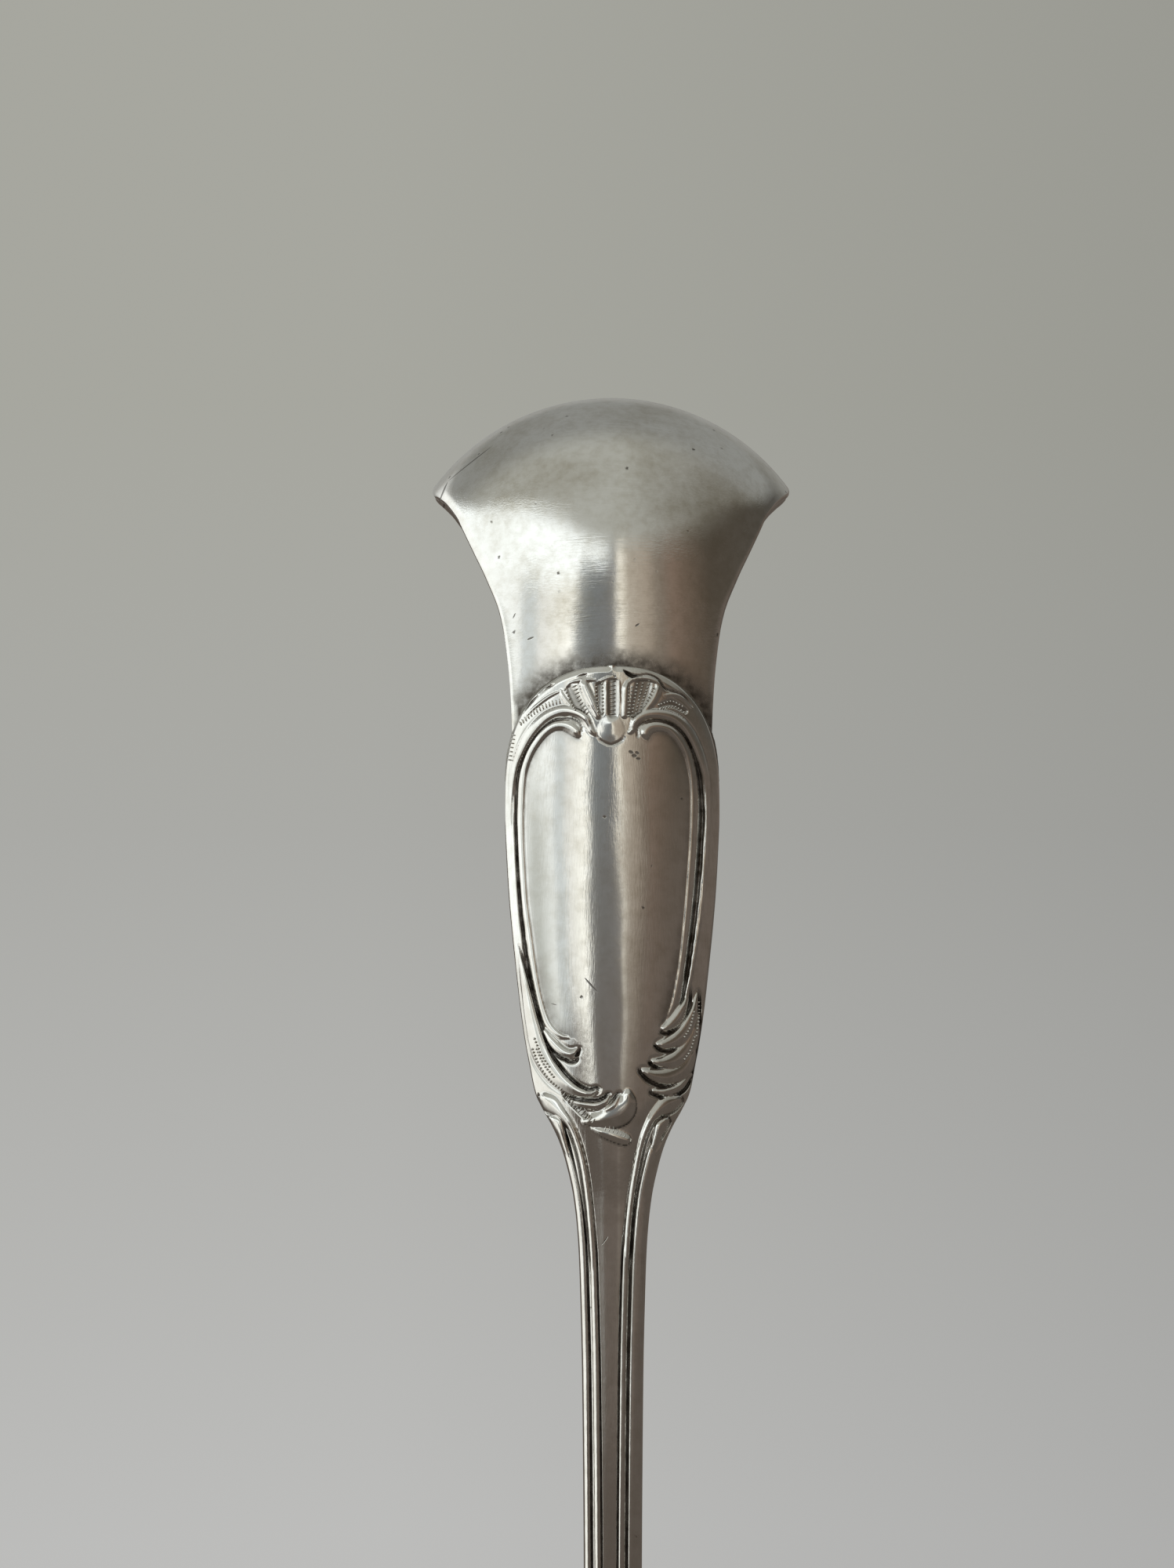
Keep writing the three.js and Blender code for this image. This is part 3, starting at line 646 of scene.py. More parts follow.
PUNCHED = [
    [(-295, 150, 20), (-255, 230, 34), (-210, 320, 25)],
    [(-88, 140, 28), (-82, 325, 25)],
    [(2, 110, 33), (3, 340, 33)],
    [(215, 125, 60), (195, 210, 60), (150, 330, 40)],
    [(340, 270, 20), (410, 250, 30), (500, 295, 20)],
    [(-330, 2920, 15), (-250, 2995, 25), (-195, 3050, 25), (-130, 3098, 12)],
]
print(len(SHELL_RIDGES), "shell ridges,", len(SCALLOPS), "cuts in the rim,", len(PUNCHED), "punched hollows")

# %% Lines of the leaves and the threads
LEAVES = [
    (-1, [(-640, 1930, 5), (-615, 2080, 22), (-587, 2230, 35), (-545, 2440, 50), (-488, 2640, 62), (-390, 2790, 58),
          (-270, 2887, 42), (-170, 2920, 28), (-112, 2898, 14)]),
    (-1, [(-300, 2955, 10), (-220, 2985, 24), (-113, 2998, 30), (-48, 2970, 24), (-24, 2930, 10)]),
    (-1, [(-50, 3030, 20), (10, 2995, 24), (42, 2932, 10)]),
    (1, [(-460, 2490, 16), (-404, 2570, 32), (-343, 2628, 35), (-285, 2645, 28), (-245, 2620, 12)]),
    (1, [(-330, 2650, 12), (-280, 2672, 20), (-250, 2672, 10)]),
    (-1, [(520, 2190, 5), (502, 2280, 20), (460, 2375, 42), (410, 2435, 42), (353, 2474, 24)]),
    (-1, [(580, 2220, 5), (555, 2350, 30), (510, 2470, 56), (440, 2542, 56), (360, 2578, 40), (315, 2582, 20)]),
    (-1, [(585, 2360, 5), (560, 2490, 34), (515, 2600, 58), (440, 2675, 62), (350, 2702, 42), (280, 2698, 20)]),
    (-1, [(560, 2550, 5), (530, 2675, 38), (472, 2755, 60), (375, 2795, 64), (280, 2788, 44), (212, 2762, 20)]),
    (-1, [(530, 2780, 14), (454, 2865, 30), (360, 2900, 30), (278, 2895, 14)]),
]
HEART = [
    [(-190, 3100, 20), (-80, 3085, 65), (40, 3040, 100), (98, 2980, 66), (105, 2910, 25)],
    [(-140, 3145, 10), (-60, 3175, 35), (20, 3200, 45), (80, 3220, 42), (100, 3225, 30)],
]
THREADS = [
    (1, [(-460, 2945, 42), (-420, 2980, 60), (-360, 3035, 42), (-290, 3120, 29), (-230, 3270, 25), (-194, 3420, 24),
         (-168, 3600, 24), (-150, 3780, 24), (-138, 3940, 23), (-131, 4100, 15)]),
    (1, [(-405, 3085, 28), (-378, 3112, 42), (-348, 3175, 30), (-320, 3270, 24), (-285, 3380, 12)]),
    (-1, [(435, 2955, 42), (375, 2985, 62), (305, 3035, 42), (250, 3105, 29), (200, 3230, 25), (160, 3410, 24),
          (127, 3610, 24), (106, 3800, 24), (96, 3960, 23), (92, 4100, 15)]),
    (-1, [(360, 3095, 30), (330, 3130, 42), (305, 3190, 34), (285, 3260, 30), (260, 3380, 15)]),
]
THREAD_GROOVES = [
    [(-440, 3035, 4), (-390, 3042, 9), (-350, 3090, 12), (-315, 3190, 13), (-262, 3405, 13), (-220, 3610, 12),
     (-195, 3780, 12), (-180, 3920, 12), (-174, 4040, 6)],
    [(415, 3025, 4), (360, 3048, 9), (310, 3140, 12), (250, 3280, 13), (205, 3440, 13), (168, 3610, 13),
     (143, 3810, 12), (133, 3960, 12), (128, 4060, 6)],
    [(-235, 3160, 3), (-202, 3270, 5), (-168, 3410, 5), (-142, 3590, 5), (-125, 3770, 5), (-113, 3930, 6)],
    [(195, 3190, 3), (162, 3290, 4), (127, 3450, 4), (100, 3610, 4), (79, 3810, 5), (68, 3960, 6)],
]
# On each side of the stem: how far in from the edge the outer groove, the bead and the inner groove lie, and the
# height and squareness of the thread outside them.
STEM_THREADS = {-1: (0.52, 0.95, 1.2, 0.16, 2), 1: (1.0, 1.37, 1.65, 0.26, 3)}
print(len(LEAVES), "leaves,", len(THREADS), "threads")

# %% [markdown]
# ## Height of the face
# The height is built in layers. A low crown runs over the whole face and falls away at the edge. On it come
# the threads of the stem, the frame, the shell and the leaves. Each leaf leans to one side, where it stands over a
# thin crevice, and is low on the other. What lies deeper than its surroundings is kept as a tarnish mask for the
# finish, and painted shade is added to it along the leaning edges and just inside the frame beads.

# %% Bare ground
OUTLINE_END, OUTLINE_POINTS, TRUE_END, TRUE_DEPTH, TRUE_TOP, BATCHES = 40, 900, 38, 2.5, 3, 60
CARTOUCHE_CROWN, STEM_CROWN, CARTOUCHE_SINK, STEM_SINK = 1.22, 0.5, 0.66, 0.3
RIM_RADIUS, RIM_DEPTH, BEVEL_DEPTH, WAVE_HEIGHT = 0.16, 0.22, 0.12, 0.0025
down = np.linspace(0, OUTLINE_END, OUTLINE_POINTS) ** 2 / OUTLINE_END
outline = np.vstack([np.stack([side * half_width(down), down], 1) for side in (-1, 1)])


def edge_distance(x, t):
    """Distance in from the outline: true near the cartouche, straight across on the stem."""
    across = np.maximum(half_width(t) - np.abs(x), 0)
    close = np.nonzero((t < TRUE_END) & (across < TRUE_DEPTH) | (t < TRUE_TOP))
    for part in zip(*(np.array_split(k, BATCHES) for k in close)):
        gap = np.hypot(x[part][:, None] - outline[:, 0], t[part][:, None] - outline[:, 1]).min(1)
        across[part] = np.minimum(gap, across[part])
    return across


def bare_ground(x, t, edge):
    """The crowned face without ornament, above the back of the sheet."""
    stem, palm = ease(t, 29, T_STEM), palm_share(t)
    wide = np.where(t < DOME_LENGTH, CARTOUCHE_HALF_WIDTH, half_width(t))
    crown = (CARTOUCHE_CROWN * (1 - stem) + STEM_CROWN * stem) * (1 - palm) * (0.88 + 0.12 * ease(t, -2, 6))
    sink = (CARTOUCHE_SINK * (1 - stem) + STEM_SINK * stem) * (1 - palm)
    rim = RIM_DEPTH * (np.sqrt(1 - (1 - np.minimum(edge / RIM_RADIUS, 1)) ** 2) - 1)
    bevel = BEVEL_DEPTH * (1 - ease(edge, 0, 0.5)) * (1 - ease(t, 3, 8))
    waves = np.sin(1.3 * x + 0.7 * t) + np.sin(0.9 * t - 1.7 * x + 2) + np.sin(2.1 * x - 0.35 * t + 1)
    uneven = WAVE_HEIGHT * waves * (1 - stem) * ease(edge, 0.5, 2)
    return crown * (1 - (x / wide) ** 2) - sink + rim - bevel + uneven


print("outline of", len(outline), "points")

# %% Layers of relief
# Each layer has its height, the depth and reach of the crevice beside it, its squareness, the softness of its edge,
# the strength of the painted shade on that edge, and its lines with the side that each leans to.
RELIEF = [
    (0.17, 0.08, 0.06, 3, 1, 0.4, [(0, LEFT_BEAD)]),
    (0.13, 0.05, 0.06, 2, 1, 0.4, [(0, RIGHT_BEAD)]),
    (0.2, 0.1, 0.06, 3, 1, 0.5, [(0, line) for line in SHELL_BANDS + SHELL_RIDGES]),
    (0.06, 0.02, 0.2, 2, 2, 0.9, [(0, DROP)]),
    (0.24, 0, 0.1, 2.2, 1.2, 1, [(1, line) for line in HEART]),
    (0.28, 0.36, 0.12, 2.4, 1, 0.9, LEAVES),
    (0.3, 0.18, 0.06, 2, 1, 0.5, THREADS),
]
CUTS = [(0.34, [LEFT_GROOVE, RIGHT_GROOVE]), (0.2, [DROP_EDGE]), (0.3, SCALLOPS), (0.36, THREAD_GROOVES)]
STEM_GROOVE_DEPTH, STEM_BEAD_HEIGHT, STEM_BEAD_HALF_WIDTH, BED_DEPTH, BED_SOIL = 0.26, 0.16, 0.24, 0.12, 0.55
# Lines of less than these half widths are shallower, and a ridge of the last height hides what is cut into it.
FULL_CUT, FULL_RIDGE, FULL_CREVICE, COVER = 0.12, 0.3, 0.2, 0.08


def mound(distance, radius, power=2):
    """A round hump, one high in the middle and level outside its radius."""
    return np.clip(1 - np.abs(distance / radius) ** power, 0, 1)


def stem_threads(x, t, edge):
    """Ridges and grooves that follow the edge of the stem."""
    ridge, groove = np.zeros(x.shape), np.zeros(x.shape)
    above_palm = 1 - palm_share(t)
    for side, (first, bead, second, tall, power) in STEM_THREADS.items():
        d = np.where(np.sign(x) == side, edge, FAR)
        on = ease(t, 38, 40) * above_palm
        for place, radius in ((first, 0.12), (second, 0.08)):
            groove = np.minimum(groove, -STEM_GROOVE_DEPTH * on * mound(d - place, radius))
        ridge = np.maximum(ridge, STEM_BEAD_HEIGHT * on * mound(d - bead, STEM_BEAD_HALF_WIDTH))
        outer = mound(d - first / 2, first / 2, power)
        ridge = np.maximum(ridge, tall * ease(t, 31.8, 33.2) * above_palm * outer)
    return ridge, groove


def bead_shadow(t, share, width):
    """Painted shade on the panel just inside the frame bead, darkest at its top and foot."""
    low = ease(t, 16, 23)
    fall = np.clip(np.abs(share) - 1, 0, FAR) * width / (0.3 + 0.3 * low)
    return (0.3 + 0.25 * low + 0.25 * (1 - ease(t, 5, 9))) * np.exp(-(fall**2))


print(sum(len(layer[-1]) for layer in RELIEF), "ridges in", len(RELIEF), "layers")

# %% Height, tarnish and painted shade


def struck_height(x, t):
    """Height of the face above the back of the sheet, and the mask of tarnish in crevices and painted shade."""
    edge, painted_edge_shade = edge_distance(x, t), np.zeros(x.shape)
    ridge, groove = stem_threads(x, t, edge)
    for deep, lines in CUTS:
        for points in lines:
            share, width = near(x, t, points)
            groove = np.minimum(groove, -deep * np.minimum(width / FULL_CUT, 1) * mound(share, 1))
    for tall, moat, spread, power, fade, shade_on_edge, lines in RELIEF:
        for lean, points in lines:
            share, width = near(x, t, points)
            far, leaning = np.abs(share), lean * np.sign(share)
            lobe = mound(share, 1, power) ** fade * (1 + 0.2 * lean * np.clip(share, -1, 1))
            rise = tall * np.minimum(width / FULL_RIDGE, 1) * lobe
            # Painted shade along the edge of each ridge, strongest on the side it leans to, where it stands over its
            # crevice.
            painted_edge_shade = np.where(rise > ridge, shade_on_edge * np.clip(0.3 + leaning, 0.3, 1) * ease(far, 0.8, 0.98), painted_edge_shade)
            ridge = np.maximum(ridge, rise)
            under = moat * np.clip(0.25 + leaning, 0.12, 1) * np.minimum(width / FULL_CREVICE, 1)
            groove = np.minimum(groove, -under * np.exp(-((((far - 1) * width - spread / 2) / spread) ** 2)))
    bed = np.max([mound(near(x, t, points)[0], 1, 4) for points in PUNCHED], 0)
    bare = 1 - np.clip(ridge / COVER, 0, 1)
    # Painted shade on the panel just inside each frame bead, where no ridge stands.
    for points, inside in ((LEFT_BEAD, -1), (RIGHT_BEAD, 1)):
        share, width = near(x, t, points)
        shadow = np.maximum(painted_edge_shade, bead_shadow(t, share, width))
        painted_edge_shade = np.where((share * inside > 1) & (ridge < 0.02), shadow, painted_edge_shade)
    ground = ARM_BACK + thickness(t) + bare_ground(x, t, edge) + arch(x, t)
    # Tarnish in grooves and punched hollows, and painted shade along edges and inside the frame.
    darkening = np.maximum((BED_SOIL * bed - groove / 0.3) * bare, painted_edge_shade)
    return ground + ridge + (groove - BED_DEPTH * bed) * bare, np.clip(darkening, 0, 1)


face, darkening = struck_height(XX, TT)
print("face height", face.min().round(2), "to", face.max().round(2), "mm")

# %% [markdown]
# ## Claw
# The arm widens into a cupped palm with five toes, which run on as hooked talons. The toes are round ridges on both
# sides of the palm, so the talons, made next, grow out of them without a step.

# %% Toes in the palm
TALON_RADIUS, TALON_TIP, TALON_ROOT = 1.25, 0.45, 8.0
TOES, TOE_HEIGHT, TOE_SKIN, OUTER_TOE_SHORTER = (-1, -0.5, 0, 0.5, 1), 0.75, 0.04, 0.5
ROOT_SPREAD, ROOT_OPENING, ROOT_THICKNESS, ROOT_SWELLING = 0.55, 0.45, 0.36, 0.64


def toe_line(aside, share):
    """Across, down, outwards and radius of a toe, from its root in the palm to its tip."""
    end = T_END - OUTER_TOE_SHORTER * aside**2
    t = T_KNUCKLE - TALON_ROOT + (end - T_KNUCKLE + TALON_ROOT) * share
    x = aside * (PALM_HALF_WIDTH - TALON_RADIUS) * (ROOT_SPREAD + ROOT_OPENING * np.minimum(1, 2 * share))
    radius = TALON_RADIUS + (TALON_TIP - TALON_RADIUS) * np.clip(2 * share - 1, 0, 1)
    radius = radius * (ROOT_THICKNESS + ROOT_SWELLING * ease(share, 0, 0.25))
    cup = arch(x, np.full(np.shape(x), T_CLAW)) * (1 - share)
    return x, t, ARM_BACK + TOE_HEIGHT + cup, radius


def with_toes(x, t, face, back):
    """Face and back of the palm with the round toes worked into them."""
    length = T_END - T_KNUCKLE + TALON_ROOT
    for aside in TOES:
        share = np.clip((t - T_KNUCKLE + TALON_ROOT) / length, 0, 1)
        tx, _, tn, radius = toe_line(aside, share)
        bulge = np.sqrt(np.clip((radius + TOE_SKIN) ** 2 - (x - tx) ** 2, 0, None))
        on = (t > T_KNUCKLE - TALON_ROOT) & (bulge > 0)
        face = np.where(on, np.maximum(face, tn + bulge), face)
        back = np.where(on, np.minimum(back, tn - bulge), back)
    return face, back


print(len(TOES), "toes on each palm")

# %% Skin of an arm
BACK_COLUMNS, BACK_SHARE = 31, 0.985
B = np.linspace(1, -1, BACK_COLUMNS)
BX, BT = half_width(T)[:, None] * B * BACK_SHARE, np.broadcast_to(T[:, None], (len(T), len(B)))
under = ARM_BACK + arch(BX, BT)
face, _ = with_toes(XX, TT, face, face)
_, under = with_toes(BX, BT, under, under)
skin = np.concatenate([bent(XX, S_TOP + TT, face), bent(BX, S_TOP + BT, under)], 1)
grid_index = np.arange(skin.size // 3).reshape(skin.shape[:2])
after = np.roll(grid_index, -1, 1)
quads = np.stack([grid_index[:-1], after[:-1], after[1:], grid_index[1:]], -1).reshape(-1, 4)
faces = quads.tolist() + [grid_index[0, ::-1].tolist(), grid_index[-1].tolist()]
# On the arms the darkening is tarnish in grooves and punched hollows plus painted shade along edges and inside the
# frame.
tarnish_and_painted_shade = np.concatenate([darkening, np.zeros(BX.shape)], 1).ravel()
for body, turn in ARMS:
    name = body + "_struck"
    arm = placed(name, new_mesh(name, turn(skin.reshape(-1, 3)).tolist(), faces=faces))
    arm.data.shade_smooth()
    mask = arm.data.attributes.new("darkening_mask", "FLOAT", "POINT")
    mask.data.foreach_set("value", tarnish_and_painted_shade.astype(np.float32))
    tidy_skin(arm, FINE_WELD)
    arm.data.materials.append(arm_silver)
    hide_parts(body)
    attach(arm, body)
    print(arm.name, len(arm.data.polygons), "faces")

# %% [markdown]
# ## Talons and braze
# A talon is a tapered rod that follows the hook of the claw, and the braze that swelled out of the lap is a thin rod
# round the dome of the cartouche. Both are a line with a thickness, so one tree sweeps them: it turns
# edges into curves, reads the radius stored at each point and runs a circle along. It also cuts the talons flat
# where they would pass through the table, because the soles of the claws were dressed.

# %% Tree for swept rods
WOBBLE_SCALE = 1500.0
rod_tree, size, ends = shape_tree("swept_rods", {"Sides": 12, "Wobble": 0.0})
spot = out(rod_tree.nodes.new("GeometryNodeInputPosition"))
line = put(rod_tree, "GeometryNodeMeshToCurve", {"Mesh": size["Geometry"]})
thick = out(put(rod_tree, "GeometryNodeInputNamedAttribute", {"Name": "thick"}, data_type="FLOAT"))
circle = put(rod_tree, "GeometryNodeCurvePrimitiveCircle", {"Resolution": size["Sides"], "Radius": 1.0})
rod = put(rod_tree, "GeometryNodeCurveToMesh", {
    "Curve": out(line), "Profile Curve": out(circle), "Fill Caps": True,
    "Scale": thick * ((noise(rod_tree, spot, WOBBLE_SCALE) - 0.5) * size["Wobble"] + 1.0),
})
x, y, z = apart(rod_tree, spot)
above = joined(rod_tree, x, y, z.at_least(0.0))
cut = put(rod_tree, "GeometryNodeSetPosition", {"Geometry": out(rod), "Position": above})
close_tree(ends, cut, size["Metal"])


def line_mesh(name, lines, **stored):
    """A mesh of open lines of points, with one stored value list per line for each name."""
    points = np.concatenate(lines)
    edges, start = [], 0
    for line in lines:
        edges += [(start + i, start + i + 1) for i in range(len(line) - 1)]
        start += len(line)
    mesh = new_mesh(name, points.tolist(), edges)
    for key, values in stored.items():
        values = np.concatenate(values)
        kind = "FLOAT" if values.ndim == 1 else "FLOAT_VECTOR"
        field = "value" if values.ndim == 1 else "vector"
        mesh.attributes.new(key, kind, "POINT").data.foreach_set(field, values.astype(np.float32).ravel())
    return mesh


print("rod tree has", len(rod_tree.nodes), "nodes")

# %% Talons and braze of both arms
TIP_START, ROUND_START, ROUND_LENGTH, BLUNTNESS = 0.93, 0.95, 0.05, 0.995
BRAZE_RADIUS, BRAZE_START, BRAZE_END, BRAZE_POINTS, BRAZE_OUT, BRAZE_UP = 0.17, 0.06, 7.5, 60, 0.03, 0.08
closing = np.cos(np.linspace(0, math.pi / 2, 8)[1:])
share = np.concatenate([np.linspace(0, TIP_START, 26), 1 - (1 - TIP_START) * closing])
talons, talon_sizes = [], []
for aside in TOES:
    x, t, n, radius = toe_line(aside, share)
    tip = np.sqrt(np.clip(1 - np.clip((share - ROUND_START) / ROUND_LENGTH, 0, BLUNTNESS) ** 2, 0, 1))
    talons.append(bent(x, S_TOP + t, n))
    talon_sizes.append(radius * tip * MM)
down = np.linspace(BRAZE_START, BRAZE_END, BRAZE_POINTS)
t = np.concatenate([down[::-1], down[1:]])
side = np.concatenate([-np.ones(BRAZE_POINTS), np.ones(BRAZE_POINTS - 1)])
edge = side * (half_width(t) + BRAZE_OUT)
braze_line = bent(edge, S_TOP + t - BRAZE_OUT, arch(edge, t) + BRAZE_UP)
braze_size = BRAZE_RADIUS * (1 - ease(t, 4.5, BRAZE_END) * 0.75) * MM
for body, turn in ARMS:
    rods = line_mesh("talons", [turn(p) for p in talons], thick=talon_sizes)
    claw = grown(body + "_talons", rod_tree, rods, {"Sides": 18, "Metal": arm_silver})
    tidy_skin(claw, FINE_WELD)
    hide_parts(body)
    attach(claw, body)
    rod = line_mesh("braze", [turn(braze_line)], thick=[braze_size])
    bead = grown(body + "_braze", rod_tree, rod, {"Sides": 10, "Wobble": 0.9, "Metal": braze_grey})
    tidy_skin(bead, FINE_WELD)
    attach(bead, body)
    print(claw.name, len(claw.data.polygons), bead.name, len(bead.data.polygons), "faces")

# %% [markdown]
# ## Punched rows
# The hollows of the shell and the backs of the leaves were punched by hand with rows of tiny beads and short
# rungs. They could be a bump in the finish, but they stand out from the face, so a tree repeats one small bead
# along each row at an even pitch, laid on the face and turned across the row.

# %% Tree for punched rows
row_tree, size, ends = shape_tree("punched_rows", {"Pitch": 0.24, "Along": 0.095, "Across": 0.095, "Height": 0.14})
line = put(row_tree, "GeometryNodeMeshToCurve", {"Mesh": size["Geometry"]})
even = put(row_tree, "GeometryNodeResampleCurve", {"Curve": out(line), "Length": size["Pitch"] * MM}, mode="LENGTH")
outward = put(row_tree, "GeometryNodeInputNamedAttribute", {"Name": "outward"}, data_type="FLOAT_VECTOR")
upright = put(row_tree, "FunctionNodeAlignRotationToVector", {"Vector": out(outward)}, axis="Z")
turned_bead = put(row_tree, "FunctionNodeAlignRotationToVector", {
    "Rotation": out(upright), "Vector": out(row_tree.nodes.new("GeometryNodeInputTangent")),
}, axis="X", pivot_axis="Z")
ball = put(row_tree, "GeometryNodeMeshUVSphere", {"Segments": 8, "Rings": 5, "Radius": 1.0})
beads = put(row_tree, "GeometryNodeInstanceOnPoints", {
    "Points": out(even), "Instance": out(ball), "Rotation": out(turned_bead),
    "Scale": joined(row_tree, *(size[key] * MM for key in ("Along", "Across", "Height"))),
})
close_tree(ends, beads, size["Metal"])
print("row tree has", len(row_tree.nodes), "nodes")

# %% Rows of beads and rungs
DOTS = [
    [(-324, 160), (-286, 235), (-254, 305)], [(-108, 148), (-97, 320)], [(-70, 127), (-65, 327)],
    [(135, 150), (113, 350)], [(172, 125), (136, 345)], [(210, 120), (160, 330)], [(248, 125), (190, 300)],
    [(280, 150), (220, 280)], [(320, 265), (405, 236), (480, 266)], [(330, 290), (427, 272), (510, 320)],
    [(-545, 2610), (-500, 2720), (-430, 2820), (-350, 2885)], [(-515, 2610), (-470, 2710), (-400, 2800)],
    [(-530, 2540), (-485, 2650), (-430, 2730)], [(588, 2290), (588, 2400), (572, 2520)],
    [(555, 2360), (530, 2460), (490, 2530)], [(560, 2530), (530, 2620), (490, 2680)],
]
RUNGS = [
    [(-630, 375), (-545, 310), (-450, 262), (-360, 240)], [(-260, 140), (-225, 230), (-175, 330)],
    [(2, 110), (3, 335)], [(-675, 450), (-690, 530), (-705, 620)],
    [(-330, 2920), (-250, 2995), (-195, 3050), (-130, 3098)], [(-50, 3150), (35, 3172), (80, 3195)],
]


def row_on_face(points):
    """A row in metres on the face of the arm, and the outward direction at its points."""
    path = drawn([(*p, 0) for p in points], 0.1)
    x, t = path[:, :1], path[:, 1:2]
    n = struck_height(x, t)[0]
    place = bent(x, S_TOP + t, n)[:, 0]
    lifted = bent(x * (1 + 1 / ARCH_RADIUS), S_TOP + t, n + 1)[:, 0]
    return place, (lifted - place) / MM


KINDS = {"_beads": (DOTS, {"Pitch": 0.23}), "_rungs": (RUNGS, {"Pitch": 0.26, "Across": 0.22, "Along": 0.06})}
laid = {name: [row_on_face(row) for row in rows] for name, (rows, _) in KINDS.items()}
for body, turn in ARMS:
    for name, (_, shape) in KINDS.items():
        rows = laid[name]
        source = line_mesh("rows", [turn(p) for p, _ in rows], outward=[turn(v) for _, v in rows])
        punched = grown(body + name, row_tree, source, {**shape, "Metal": arm_silver})
        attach(punched, body)
        print(punched.name, len(punched.data.polygons), "faces")

# %% [markdown]
# ## Light
# A mirror shows what is round it, so polished metal is lit by its room more than by its lamps. The world is a soft
# room: a broad pale window on the left, a narrow pale strip and a dim warm wall on the right, and a grey
# ceiling. The camera itself sees only plain grey, so every view has a clean background.

# %% Walls of the room
world = bpy.data.worlds.new("soft_room")
scene.world = world
world.use_nodes = True
room = world.node_tree
room.nodes.clear()
right, back, up = apart(room, out(room.nodes.new("ShaderNodeTexCoord"), "Generated"))
azimuth = right.math("ARCTAN2", back * -1.0) * math.degrees(1)
rise = up.math("ARCSINE") * math.degrees(1)
# Azimuth in degrees from straight in front, growing to the right, and the colour there.
WALLS = [
    (-180, 0.36, 0.36, 0.34), (-152, 0.42, 0.42, 0.4), (-128, 1.25, 1.27, 1.25), (-80, 1.35, 1.4, 1.38),
    (-50, 1.18, 1.22, 1.2), (-47.5, 0.78, 0.83, 0.84), (-41, 0.78, 0.83, 0.83), (-39, 0.97, 0.98, 0.95),
    (-28, 1.18, 1.18, 1.1), (-22, 1.4, 1.4, 1.32), (-19, 0.36, 0.38, 0.38), (-12, 0.22, 0.235, 0.24),
    (1.5, 0.23, 0.23, 0.23), (4, 1.15, 1.1, 0.98), (6.5, 0.95, 0.9, 0.78), (8.5, 0.56, 0.5, 0.42),
    (19, 0.43, 0.365, 0.295), (26, 0.25, 0.21, 0.17), (33, 0.24, 0.175, 0.135), (43, 0.16, 0.12, 0.09),
    (55, 0.095, 0.078, 0.06), (120, 0.1, 0.095, 0.085), (150, 0.3, 0.3, 0.28), (180, 0.36, 0.36, 0.34),
]
walls = room.nodes.new("ShaderNodeValToRGB")
while len(walls.color_ramp.elements) < len(WALLS):
    walls.color_ramp.elements.new(0.5)
for stop, (angle, *colour) in zip(walls.color_ramp.elements, WALLS):
    stop.position = angle / 360 + 0.5
    stop.color = (*colour, 1)


def span(low, full, last, gone):
    """A mask of azimuths in degrees, full between the two inner ones."""
    return azimuth.between(low, full) * azimuth.between(last, gone, 1.0, 0.0)


# Edges on the walls lean by some degrees: low down on the right, and high up left of the middle.
slant = rise.between(10.5, 13.4, 7.0, 0.0) * span(-10, 2, 18, 35)
slant = slant + rise.between(14.5, 18, 0.0, 2.5) * span(-35, -24, -6, 0)
feed(walls.inputs[0], (azimuth - slant) / 360.0 + 0.5)
print("room with", len(WALLS), "wall tones")

# %% Furniture, window and ceiling
sky = (rise - azimuth.between(-21, -16, 19.5, 25.0)).between(0.0, 3.0, smooth=True)
sky = sky * azimuth.between(-6, 3, 1.0, 0.0, smooth=True) * azimuth.between(-125, -100)
# Over the walls lie dark furniture in front and on the left, a half drawn blind, and the open sky.
tone = out(walls)
for share, colour in (
    (rise.between(5, 14, 0.95, 0.0) * azimuth.between(-22, -17), (0.16, 0.13, 0.11, 1)),
    (rise.between(5.2, 6.6, 0.97, 0.0) * span(-48, -38, -22, -17), (0.16, 0.14, 0.125, 1)),
    (rise.between(8, 14, 0.8, 0.0) * span(-75, -64, -60, -45), (0.52, 0.54, 0.5, 1)),
    (sky, (1.36, 1.43, 1.43, 1)),
):
    tone = mixed(room, share, tone, colour)
ceiling = mixed(room, right.between(0.1, 1.0), (0.5, 0.505, 0.465, 1), (0.16, 0.145, 0.12, 1))
ceiling = mixed(room, back.between(-0.2, 0.35, smooth=True), ceiling, (0.315, 0.32, 0.305, 1))
wall_top = azimuth.between(-30, -6, 34.5, 30.0) + azimuth.between(-85, -55, -7.0, 0.0)
lit = mixed(room, (rise - wall_top).between(-3, 4, smooth=True), tone, ceiling)
print("room takes", len(room.nodes), "nodes")

# %% Plain background and lamp
HORIZON, BLACK = (0.402, 0.402, 0.382, 1), (0, 0, 0, 1)


def fading(tree, sideways, colour):
    """A background colour that darkens a little towards the right."""
    return mixed(tree, sideways.between(-0.06, 0.16, 0.0, 0.16), colour, BLACK)


plain = fading(room, right, mixed(room, rise.between(-1, 6), HORIZON, (0.385, 0.385, 0.347, 1)))
camera_ray = out(room.nodes.new("ShaderNodeLightPath"), "Is Camera Ray")
shown = put(room, "ShaderNodeBackground", {"Color": mixed(room, camera_ray, lit, plain), "Strength": 1.0})
feed(room.nodes.new("ShaderNodeOutputWorld").inputs[0], out(shown))

lamp = placed("key_lamp", bpy.data.lights.new("key_lamp", "AREA"))
lamp.data.size, lamp.data.energy = 0.5, 3.0
lamp.location = (-0.55, -0.6, 0.75)
lamp.rotation_euler = (math.radians(48), 0, math.radians(-42))
lamp.visible_glossy = False
print("lamp at", tuple(lamp.location))
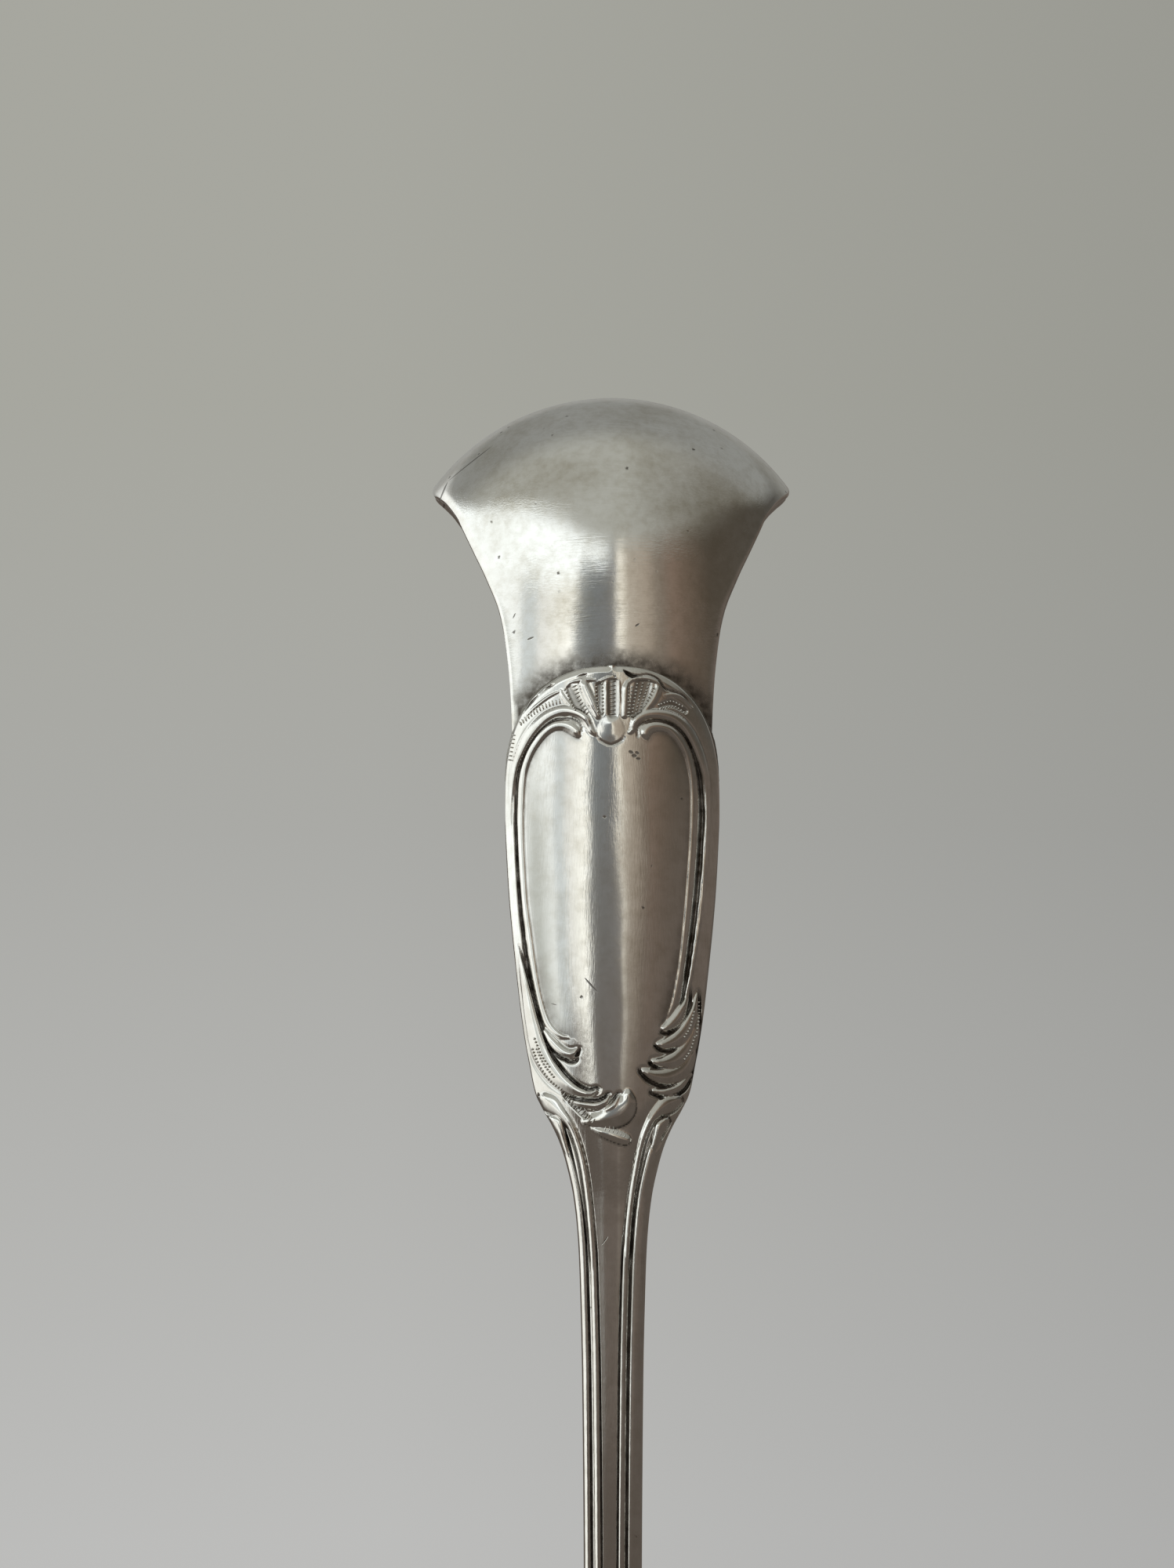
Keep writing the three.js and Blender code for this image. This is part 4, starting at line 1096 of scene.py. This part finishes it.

# %% [markdown]
# ## Floor and camera
# The floor is pale and plain. Near the tongs it takes their shadow, and further out it fades into the tone of the
# background, so that no edge shows. In the metal it shows a painted reflection instead: it glows as a dim table,
# bright only towards the window, because a white floor would wash out the undersides of the relief. The camera
# stands level with the cartouche.

# %% Floor
FLOOR_REACH, CAMERA_DISTANCE = 9, 0.264
corners = [(x * FLOOR_REACH, y * FLOOR_REACH, 0) for x, y in ((-1, -1), (1, -1), (1, 1), (-1, 1))]
floor = placed("floor", new_mesh("floor", corners, faces=[(0, 1, 2, 3)]))
paper, tree, matt = new_finish("floor_paper")


def glow(tone):
    return out(put(tree, "ShaderNodeEmission", {"Color": tone, "Strength": 1.0}))


matt.inputs["Roughness"].default_value = 0.9
place = out(tree.nodes.new("ShaderNodeTexCoord"), "Object")
grain = noise(tree, place, 900.0, 2.0)
feed(matt.inputs["Base Color"], mixed(tree, grain, (0.55, 0.55, 0.53, 1), (0.6, 0.6, 0.58, 1)))
away = out(put(tree, "ShaderNodeVectorMath", {0: place}, operation="LENGTH"), "Value")
right, back, _ = apart(tree, place)
close = (away + CAMERA_DISTANCE) ** -1.0
far_tone = fading(tree, right * close, mixed(tree, close.between(0.11, 1.68), HORIZON, (0.505, 0.505, 0.495, 1)))
fade = away.between(0.1, 0.29, smooth=True)
far = out(put(tree, "ShaderNodeMixShader", {0: fade, 1: out(matt), 2: glow(far_tone)}))
# Painted reflection: to glossy rays the floor glows pale towards the window and dim brown elsewhere.
sideways = (right + back.math("ABSOLUTE") * 1.05).between(-0.3, -0.03, smooth=True)
painted_reflection = mixed(tree, sideways, (1.15, 1.15, 1.1, 1), (0.12, 0.1, 0.085, 1))
glossy_ray = out(tree.nodes.new("ShaderNodeLightPath"), "Is Glossy Ray")
seen = out(put(tree, "ShaderNodeMixShader", {0: glossy_ray, 1: far, 2: glow(painted_reflection)}))
feed(tree.nodes["Material Output"].inputs[0], seen)
floor.data.materials.append(paper)
print("floor of", 2 * FLOOR_REACH, "m")

# %% Camera
camera = placed("camera", bpy.data.cameras.new("camera"))
camera.location = (-0.00173, -CAMERA_DISTANCE, 0.1222)
camera.rotation_euler = (math.pi / 2, 0, 0)
camera.data.lens = 83.33
camera.data.clip_start = 0.01
scene.camera = camera
scene.view_settings.view_transform = "Standard"
print("camera", tuple(round(v, 4) for v in camera.location))

# %% Braze seams of the imported model
for node in ("front_brazed_seam", "rear_brazed_seam"):
    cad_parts[node].data.materials.clear()
    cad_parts[node].data.materials.append(braze_grey)
